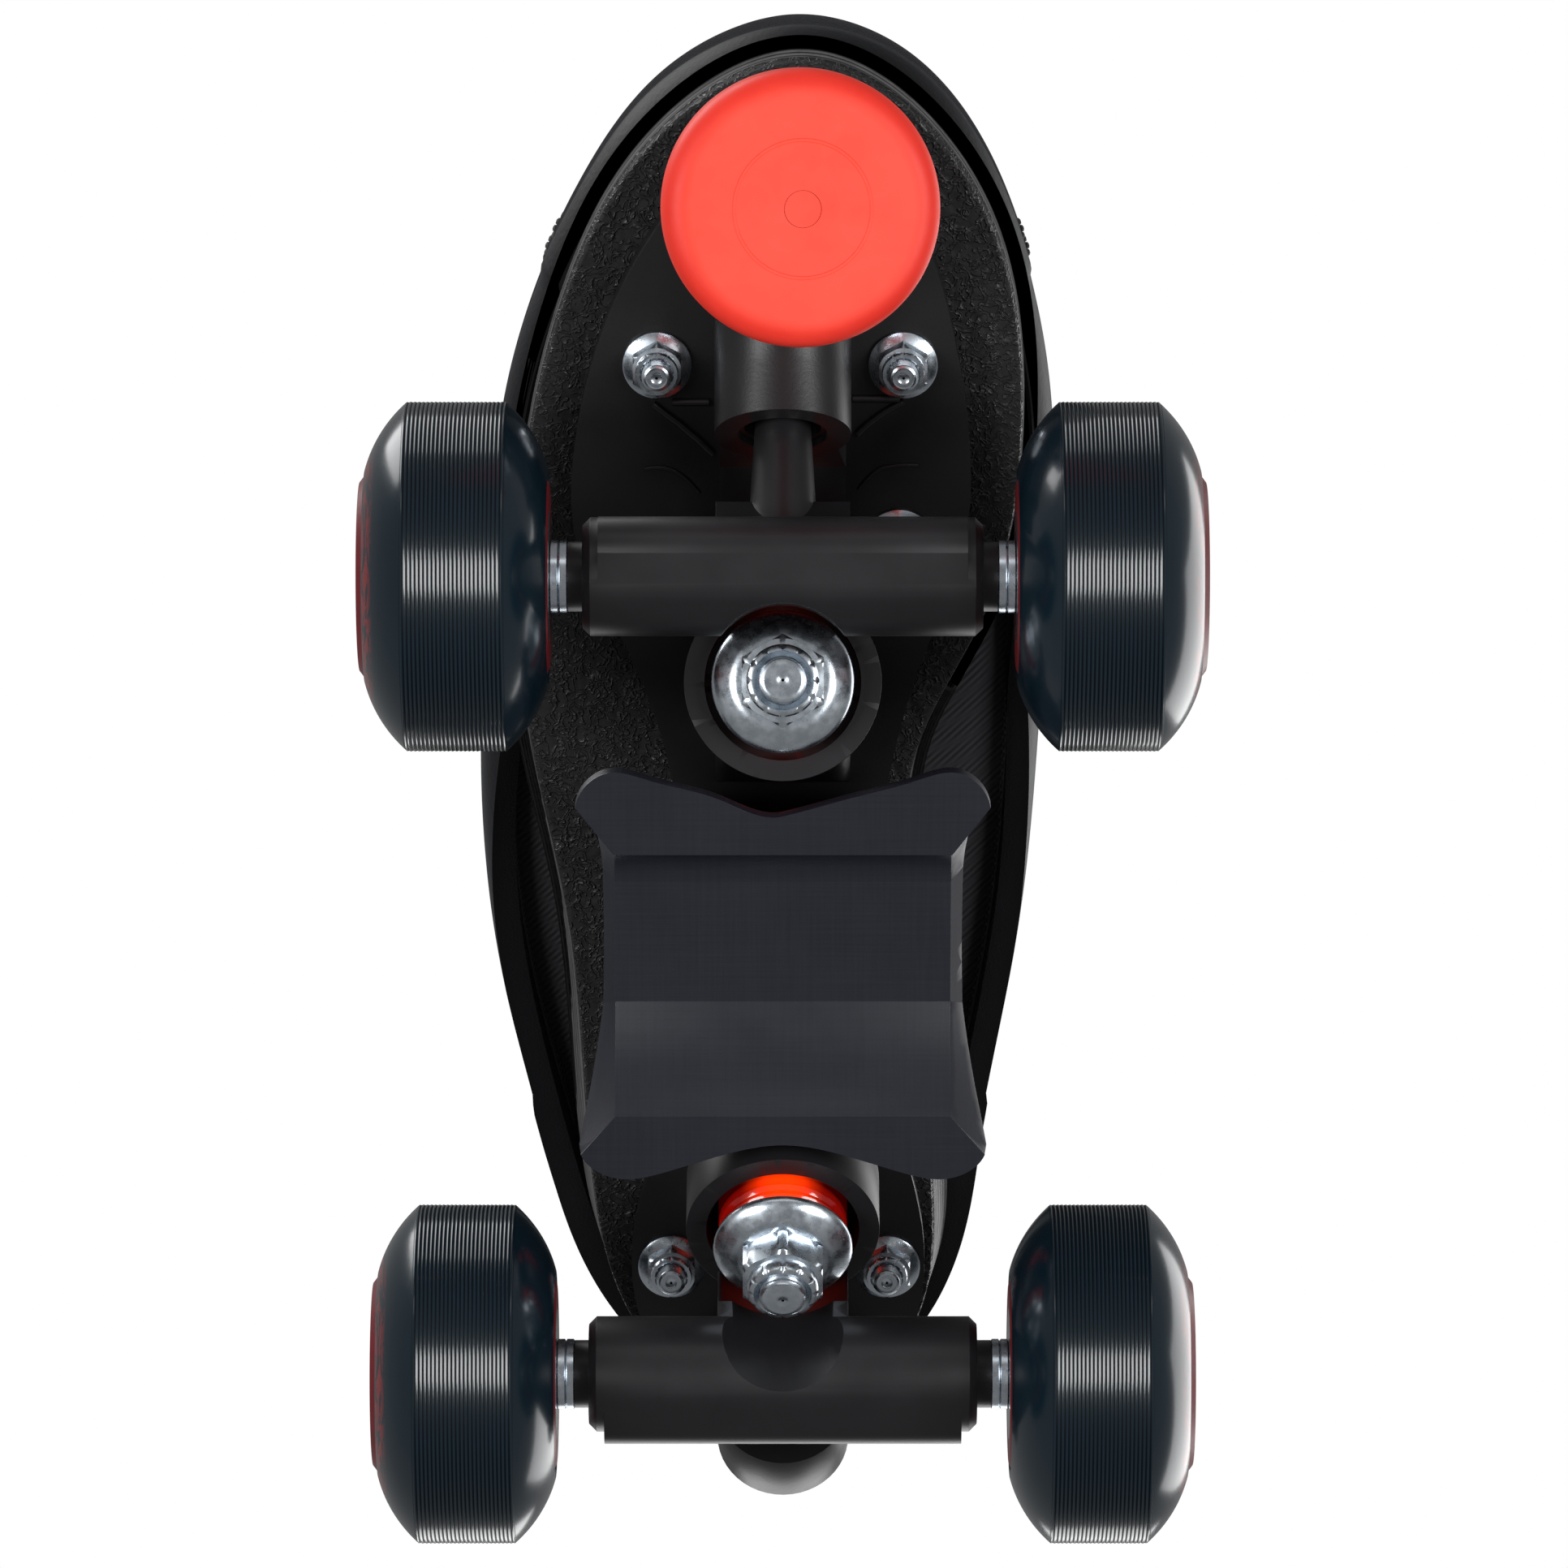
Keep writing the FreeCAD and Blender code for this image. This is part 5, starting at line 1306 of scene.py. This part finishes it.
def thick_sheet(outer, inner, open_from=0):
    """Points and faces of a closed sheet between two grids; its side walls start at row open_from."""
    rows, columns = outer.shape[:2]
    points = [place(*point) for grid in (outer, inner) for point in grid.reshape(-1, 3)]
    count = rows * columns
    faces = grid_faces(rows, columns) + [face[::-1] for face in grid_faces(rows, columns, start=count)]
    for row in range(open_from, rows - 1):
        for column, turn in ((0, 1), (columns - 1, -1)):
            a, b = row * columns + column, (row + 1) * columns + column
            faces.append((a, b, b + count, a + count)[::turn])
    for column in range(columns - 1):
        for row, turn in ((0, -1), (rows - 1, 1)):
            a, b = row * columns + column, row * columns + column + 1
            faces.append((a, b, b + count, a + count)[::turn])
    return points, faces


WELD_DISTANCE = 0.02


def weld(piece):
    """Joins the points that lie on each other."""
    work = bmesh.new()
    work.from_mesh(piece.data)
    bmesh.ops.remove_doubles(work, verts=work.verts, dist=WELD_DISTANCE * MM)
    bmesh.ops.recalc_face_normals(work, faces=work.faces)
    work.to_mesh(piece.data)
    work.free()


def make_upper():
    """The suede upper: overlapping panels on one shell, with a throat down its front."""
    rows, columns = 120, 420
    outer = np.zeros((rows, columns + 1, 3))
    inner = np.zeros_like(outer)
    shares = np.linspace(0, 1, columns + 1)
    start_columns = shares * COLUMNS
    lowest = floor_height(on_boot(start_columns, RIM_LEVEL)[:, 1]) - 0.5
    highest = cuff_height(on_boot(start_columns, CUFF_LEVEL)[:, 1])
    closed_rows = 0
    for row in range(rows):
        heights = lowest + (highest - lowest) * row / (rows - 1)
        front_height = heights[0]
        edge = throat_edge(front_height)
        if edge == 0:
            closed_rows = row
        first = front_column(-edge, front_height)
        last = front_column(edge, front_height) + COLUMNS
        placed = first + (last - first) * shares
        bare = on_boot(placed, heights)
        outer[row] = on_boot(placed, heights, relief(bare))
        inner[row] = on_boot(placed, heights, -SHELL_THICKNESS)
    outer += soft_bumps(outer, 26.0, 0.35)[..., None] * np.array((1.0, 1.0, 0.0))
    smooth = smooth_step(floor_height(outer[..., 1]) + BAND_HEIGHT - outer[..., 2])
    points, faces = thick_sheet(outer, inner, closed_rows)
    shade = np.concatenate([smooth.ravel(), np.zeros(smooth.size)])
    piece = add_piece("boot_upper_panels", points, faces, "suede", "black_suede", replaces=("boot_upper",),
                      attributes={"smooth_leather": shade}, sharp=PANEL_SHARP)
    weld(piece)


EYESTAY_WIDTH = 14.0
EYESTAY_TOP = 232.0
EYELET_X = 20.5
LACE_HEIGHTS = [151.0, 159.0, 168.0, 178.0, 189.0, 201.0, 213.0]


def throat_path(offset, count, top=228.0):
    """(x, run) along a line round the throat, this far outside its edge."""
    reach = THROAT_HALF + offset
    straight = np.linspace(run_at(top), THROAT_CENTRE, count)
    path = [(-reach, run) for run in straight[:-1]]
    for step in range(count // 2 + 1):
        turn = math.pi * step / (count // 2)
        path.append((-reach * math.cos(turn), THROAT_CENTRE - reach * math.sin(turn)))
    path += [(reach, run) for run in straight[::-1][1:]]
    return path


def make_eyestay():
    """The reinforcement round the throat that carries the eyelets."""
    across = 12
    outer = []
    inner = []
    for step in range(across + 1):
        share = step / across
        offset = -0.6 + EYESTAY_WIDTH * share
        swell = 1.9 - 0.9 * max(0.0, (share - 0.9) / 0.1) ** 2 - 0.7 * max(0.0, (0.1 - share) / 0.1) ** 2
        outer_drop = 7.0 * max(0.0, (share - 0.5) / 0.5) ** 3
        inner_drop = 1.5 * max(0.0, (0.25 - share) / 0.25) ** 2
        top = EYESTAY_TOP - outer_drop - inner_drop
        path = throat_path(offset, 60, top)
        outer.append([front_point(x, run, swell) for x, run in path])
        inner.append([front_point(x, run, -0.3) for x, run in path])
    points, faces = thick_sheet(np.array(outer), np.array(inner))
    add_piece("boot_eyestay", points, faces, "suede", "black_suede", sharp=PANEL_SHARP,
              attributes={"smooth_leather": np.full(len(points), 0.35)})


CAPSULE_SIDES = 6
# A stitch along its length: (share of the length from its middle, share of its radius).
CAPSULE_SECTIONS = [(-0.5, 0.25), (-0.36, 0.85), (0.0, 1.0), (0.36, 0.85), (0.5, 0.25)]


def capsule_ring(centre, along, up, length, radius):
    """One stitch: a short rounded bar."""
    side = along.cross(up).normalized()
    points = []
    for share, swell in CAPSULE_SECTIONS:
        dip = -1.6 * share ** 2 * radius
        for step in range(CAPSULE_SIDES):
            turn = 2 * math.pi * step / CAPSULE_SIDES
            reach = radius * swell
            points.append(centre + (along * length * share + side * math.cos(turn) * reach
                                    + up * (math.sin(turn) * reach + dip)) * MM)
    return points, capped_faces(len(CAPSULE_SECTIONS), CAPSULE_SIDES)


STITCH_PITCH = 3.1
STITCH_LENGTH = 2.4
STITCH_RADIUS = 0.36


def stitches_along(line, lifted):
    """Stitches at an even pitch along a line of points; lifted is the same line further out."""
    line, lifted = np.array(line), np.array(lifted)
    run = run_along(line)
    groups = []
    for position in np.arange(STITCH_PITCH / 2, run[-1], STITCH_PITCH):
        centre, ahead, above = (
            np.array([np.interp(at, run, source[:, axis]) for axis in range(3)])
            for at, source in ((position, line), (min(position + 0.5, run[-1]), line), (position, lifted)))
        along = Vector(ahead - centre)
        if along.length < 0.01:
            continue
        up = Vector(above - centre).normalized()
        groups.append(capsule_ring(place(*centre), along.normalized(), up, STITCH_LENGTH, STITCH_RADIUS))
    return groups


def seam_points(side, seam, low, high, shift, extra):
    """A seam's line on one side of the boot, moved back by shift and lifted by extra."""
    line = []
    for height in np.linspace(low, high, 60):
        column = side_column(side, seam(height) + shift, height)
        bare = on_boot(column, height)
        line.append(on_boot(column, height, float(relief(bare)) + extra))
    return line


def make_stitches():
    """Twin rows of stitching beside every panel edge and round the throat."""
    groups = []
    for offset in (1.6, EYESTAY_WIDTH - 2.6):
        path = throat_path(offset, 60)
        groups += stitches_along([front_point(x, run, 1.95) for x, run in path],
                                 [front_point(x, run, 3.6) for x, run in path])
    seams = ((toe_seam, 92.0, 139.0, (-2.2, -5.2)), (quarter_seam, 92.0, 143.0, (2.2, 5.2)),
             (counter_seam, 108.0, 154.0, (2.2, 5.2)))
    for seam, low, high, shifts in seams:
        for side in SIDES:
            for shift in shifts:
                groups += stitches_along(seam_points(side, seam, low, high, shift, 0.1),
                                         seam_points(side, seam, low, high, shift, 1.5))
    joined("boot_stitches", groups, "thread", "lace_textile")


TONGUE_HALF = 31.0
TONGUE_TOP = 239.0
TONGUE_LIFT = -4.6
TONGUE_DEPTH = 3.2
QUILT_PITCH = 17.0


def make_tongue():
    """The padded tongue, quilted across, standing above the cuff."""
    low, high = run_at(136.0), run_at(TONGUE_TOP)
    rows, columns = 100, 60
    outer = np.zeros((rows + 1, columns + 1, 3))
    inner = np.zeros_like(outer)
    for row in range(rows + 1):
        run = low + (high - low) * row / rows
        near_top = max(0.0, (run - (high - 20.0)) / 20.0)
        half = TONGUE_HALF * math.sqrt(max(0.02, 1 - 0.7 * near_top ** 3))
        above_cuff = max(0.0, run - run_at(214.0))
        quilt = abs(math.sin(math.pi * (run - low) / QUILT_PITCH)) ** 0.5
        leaning = -0.11 * min(above_cuff, 12.0) + 0.008 * above_cuff ** 2
        for column in range(columns + 1):
            x = (2 * column / columns - 1) * half
            round_off = math.sqrt(max(0.0, 1 - abs(x / half) ** 8)) * math.sqrt(max(0.0, 1 - near_top ** 6))
            in_throat = float(smooth_step(12.5 - abs(x), 6.0))
            puff = (1.2 + 2.4 * quilt) * in_throat * round_off
            lift = TONGUE_LIFT + leaning - 0.5 * (1 - round_off)
            outer[row, column] = front_point(x, run, lift + puff)
            inner[row, column] = front_point(x, run, lift - TONGUE_DEPTH * round_off)
    points, faces = thick_sheet(outer, inner)
    piece = add_piece("tongue_padded", points, faces, "lining", "padded_textile", replaces=("tongue",),
                      sharp=SOFT_SHARP)
    weld(piece)


# The collar's section: (out from the skin, up from the cuff line).
COLLAR_SECTION = [(0.7, -3.5), (1.5, 0.4), (0.6, 3.6), (-2.2, 5.2), (-5.6, 4.6), (-8.4, 1.6), (-9.9, -4.0),
                  (-10.0, -10.0), (-8.6, -14.5), (-9.8, -20.0), (-9.4, -28.0), (-7.4, -37.0), (-5.0, -45.0),
                  (-4.2, -44.0), (-4.2, -20.0), (-3.9, -6.0)]
COLLAR_START_X = 23.0
COLLAR_END_STATIONS = 6


def make_collar():
    """The padded roll and lining round the ankle, from one side of the throat to the other."""
    section = closed_curve(COLLAR_SECTION, 3)
    first = float(front_column(-COLLAR_START_X, CUFF_LEVEL))
    last = float(front_column(COLLAR_START_X, CUFF_LEVEL)) + COLUMNS
    stations = 180
    rings = []
    for step in range(stations + 1):
        column = first + (last - first) * step / stations
        top = float(cuff_height(on_boot(column, CUFF_LEVEL)[1]))
        proud = float(relief(on_boot(column, top - 3.0)))
        near_end = min(step, stations - step) / COLLAR_END_STATIONS
        fullness = 1.0 if near_end >= 1 else 0.12 + 0.88 * math.sqrt(1 - (1 - near_end) ** 2)
        ring = []
        for out, up in section:
            outside = max(0.0, min(1.0, (out + 4.0) / 4.0))
            out = -5.2 + (out + 5.2) * fullness + proud * outside
            up = up if up < -4 else -4 + (up + 4) * fullness
            ring.append(on_boot(column, top + up, out))
        rings.append(ring)
    grid = np.array(rings)
    grid[..., 2] += soft_bumps(grid, 15.0, 0.45)
    points = [place(*point) for point in grid.reshape(-1, 3)]
    piece = add_piece("collar_padded", points, capped_faces(stations + 1, len(section)), "lining",
                      "padded_textile", replaces=("collar_lining",), sharp=SOFT_SHARP)


def make_insole():
    """The footbed, raised a little round its edge."""
    count = 240
    columns = np.arange(count) * COLUMNS / count
    rim = on_boot(columns, 90.0, -4.8)
    rim[:, 2] = floor_height(rim[:, 1]) + 4.0
    rim = on_boot(columns, rim[:, 2], -4.8)
    rings = []
    for share in (0.02, 0.15, 0.3, 0.45, 0.6, 0.74, 0.86, 0.94, 0.985, 1.0):
        ring = rim.copy()
        ring[:, 0] = rim[:, 0] * share
        ring[:, 1] = -18.0 + (rim[:, 1] + 18.0) * (0.72 + 0.28 * share)
        ring[:, 2] = floor_height(ring[:, 1]) + 3.2 + 1.4 * share ** 5 - (0.9 if share == 1.0 else 0.0)
        rings.append(ring)
    base = rim.copy()
    base[:, 2] = floor_height(base[:, 1]) + 0.3
    rings.append(base)
    points = [place(*point) for ring in rings for point in ring]
    faces = grid_faces(len(rings), count, wrap_columns=True)
    faces.append(tuple(range(count)))
    add_piece("insole_footbed", points, faces, "insole", "insole_foam", replaces=("insole",),
              sharp=PANEL_SHARP)


LACE_WIDTH, LACE_THICKNESS = 6.4, 1.5
LACE_SECTION = [(-0.5, 0.0), (-0.42, 0.36), (-0.2, 0.5), (0.2, 0.5), (0.42, 0.36), (0.5, 0.0), (0.42, -0.36),
                (0.2, -0.5), (-0.2, -0.5), (-0.42, -0.36)]


def ribbon(line, lifted, width, thickness):
    """A flat tape along a line of points; lifted is the same line further out from the boot."""
    line, lifted = np.array(line), np.array(lifted)
    along = np.gradient(line, axis=0)
    points = []
    for centre, above, ahead in zip(line, lifted, along):
        forward = Vector(ahead).normalized()
        up = Vector(above - centre)
        across = forward.cross(up).normalized()
        up = across.cross(forward).normalized()
        for side, rise in LACE_SECTION:
            points.append(place(*(Vector(centre) + across * side * width + up * rise * thickness)))
    return points, capped_faces(len(line), len(LACE_SECTION))


def lace_crossing(start_x, start_height, end_height, hump):
    """A lace from an eyelet on one side, over the tongue, to an eyelet on the other."""
    line = []
    lifted = []
    for share in np.linspace(0, 1, 25):
        x = start_x * (1 - 2 * share)
        run = run_at(start_height) * (1 - share) + run_at(end_height) * share
        ends = min(share, 1 - share)
        lift = 3.1 + hump * math.exp(-((share - 0.5) / 0.16) ** 2) - 3.6 * max(0.0, 1 - ends / 0.07) ** 2
        line.append(front_point(x, run, lift))
        lifted.append(front_point(x, run, lift + 2.0))
    return ribbon(line, lifted, LACE_WIDTH, LACE_THICKNESS)


def make_laces():
    """One lace: a bar across the lowest eyelets, then crossings up to the top pair."""
    groups = [lace_crossing(-EYELET_X, LACE_HEIGHTS[0], LACE_HEIGHTS[0], 0.0)]
    for low, high in zip(LACE_HEIGHTS, LACE_HEIGHTS[1:]):
        groups.append(lace_crossing(-EYELET_X, low, high, 1.7))
        groups.append(lace_crossing(EYELET_X, low, high, 0.0))
    groups.append(lace_crossing(EYELET_X, LACE_HEIGHTS[-1], LACE_HEIGHTS[-1], 0.6))
    joined("laces_crossed", groups, "lace", "lace_textile", replaces=("laces",), sharp=SOFT_SHARP)


def make_eyelets():
    """Seven pairs of rolled eyelets."""
    section = [(2.3, -1.2), (2.3, 0.35), (2.6, 0.75), (3.1, 0.9), (3.7, 0.7), (4.1, 0.25), (4.2, -0.4),
               (4.1, -1.2)]
    groups = []
    for height in LACE_HEIGHTS:
        for side in SIDES:
            run = run_at(height)
            centre = front_point(side * EYELET_X, run, 2.0)
            above = front_point(side * EYELET_X, run, 4.0)
            groups.append(turned_group(section, place(*centre), Vector(above - centre), 32))
    joined("boot_eyelets", groups, "eyelet", "zinc_plated_steel")


# The heel tab's loop: (out from the boot's back, height), from its outer lower end over to its inner one.
HEEL_TAB_PATH = [(0.6, 190.0), (0.6, 199.0), (0.9, 208.0), (2.2, 216.0), (4.0, 223.0), (5.6, 230.0),
                 (5.0, 236.4), (1.6, 239.2), (-2.6, 237.2), (-5.2, 231.0), (-8.6, 224.0), (-10.6, 214.0)]
HEEL_TAB_LOW_CUFF = 214.0
HEEL_TAB_WIDTH = 18.0
HEEL_TAB_THICKNESS = 1.6
HEEL_TAB_STITCHES = (192.0, 206.0)


def make_heel_tab():
    """A loop of herringbone tape sewn over the back of the cuff, with a box of stitches on its end."""
    heel = HEEL_SPAN * SPAN_PARTS
    corners = []
    for out, height in HEEL_TAB_PATH:
        proud = relief(on_boot(heel, min(height, HEEL_TAB_LOW_CUFF)))
        corners.append((float(on_boot(heel, height)[1]) + float(proud) + out, height))
    knots = np.arange(len(corners))
    fine = np.linspace(0, len(corners) - 1, 70)
    spread = np.exp(-((fine[:, None] - knots[None]) / 0.72) ** 2)
    spread /= spread.sum(axis=1)[:, None]
    line = np.column_stack([np.zeros(len(fine)), spread @ np.array(corners)])
    turn = np.gradient(line, axis=0)
    out = np.column_stack([np.zeros(len(fine)), turn[:, 2], -turn[:, 1]])
    out /= np.linalg.norm(out, axis=1)[:, None]
    points, faces = ribbon(line, line + out * 2, HEEL_TAB_WIDTH, HEEL_TAB_THICKNESS)
    add_piece("heel_tab_loop", points, faces, "webbing", "webbing", replaces=("heel_tab",),
              sharp=PANEL_SHARP)
    half = HEEL_TAB_WIDTH / 2 - 2.0
    low, high = HEEL_TAB_STITCHES
    box = [(-half, low), (half, low), (half, high), (-half, high), (-half, low), (half, high)]
    groups = []
    for (x0, z0), (x1, z1) in zip(box, box[1:]):
        path = []
        for share in np.linspace(0, 1, 12):
            height = z0 + (z1 - z0) * share
            back = float(np.interp(height, line[:30, 2], line[:30, 1])) + HEEL_TAB_THICKNESS / 2
            path.append((x0 + (x1 - x0) * share, back + 0.1, height))
        groups += stitches_along(path, [(x, y + 2, z) for x, y, z in path])
    joined("heel_tab_stitches", groups, "thread", "lace_textile")


# ---------------------------------------------------------------- build

for make in (
        make_camera, make_world, make_floor, make_lights, paint_cad_nodes, soften_edges, make_tyres,
        make_cushions, make_cup_washers, make_kingpins, make_axles, make_axle_nuts, make_mounts, make_webs,
        make_toe_stop, make_midsole, make_outsole, make_upper, make_eyestay, make_stitches, make_tongue,
        make_collar, make_insole, make_laces, make_eyelets, make_heel_tab):
    make()

bpy.context.scene.view_settings.view_transform = "Standard"
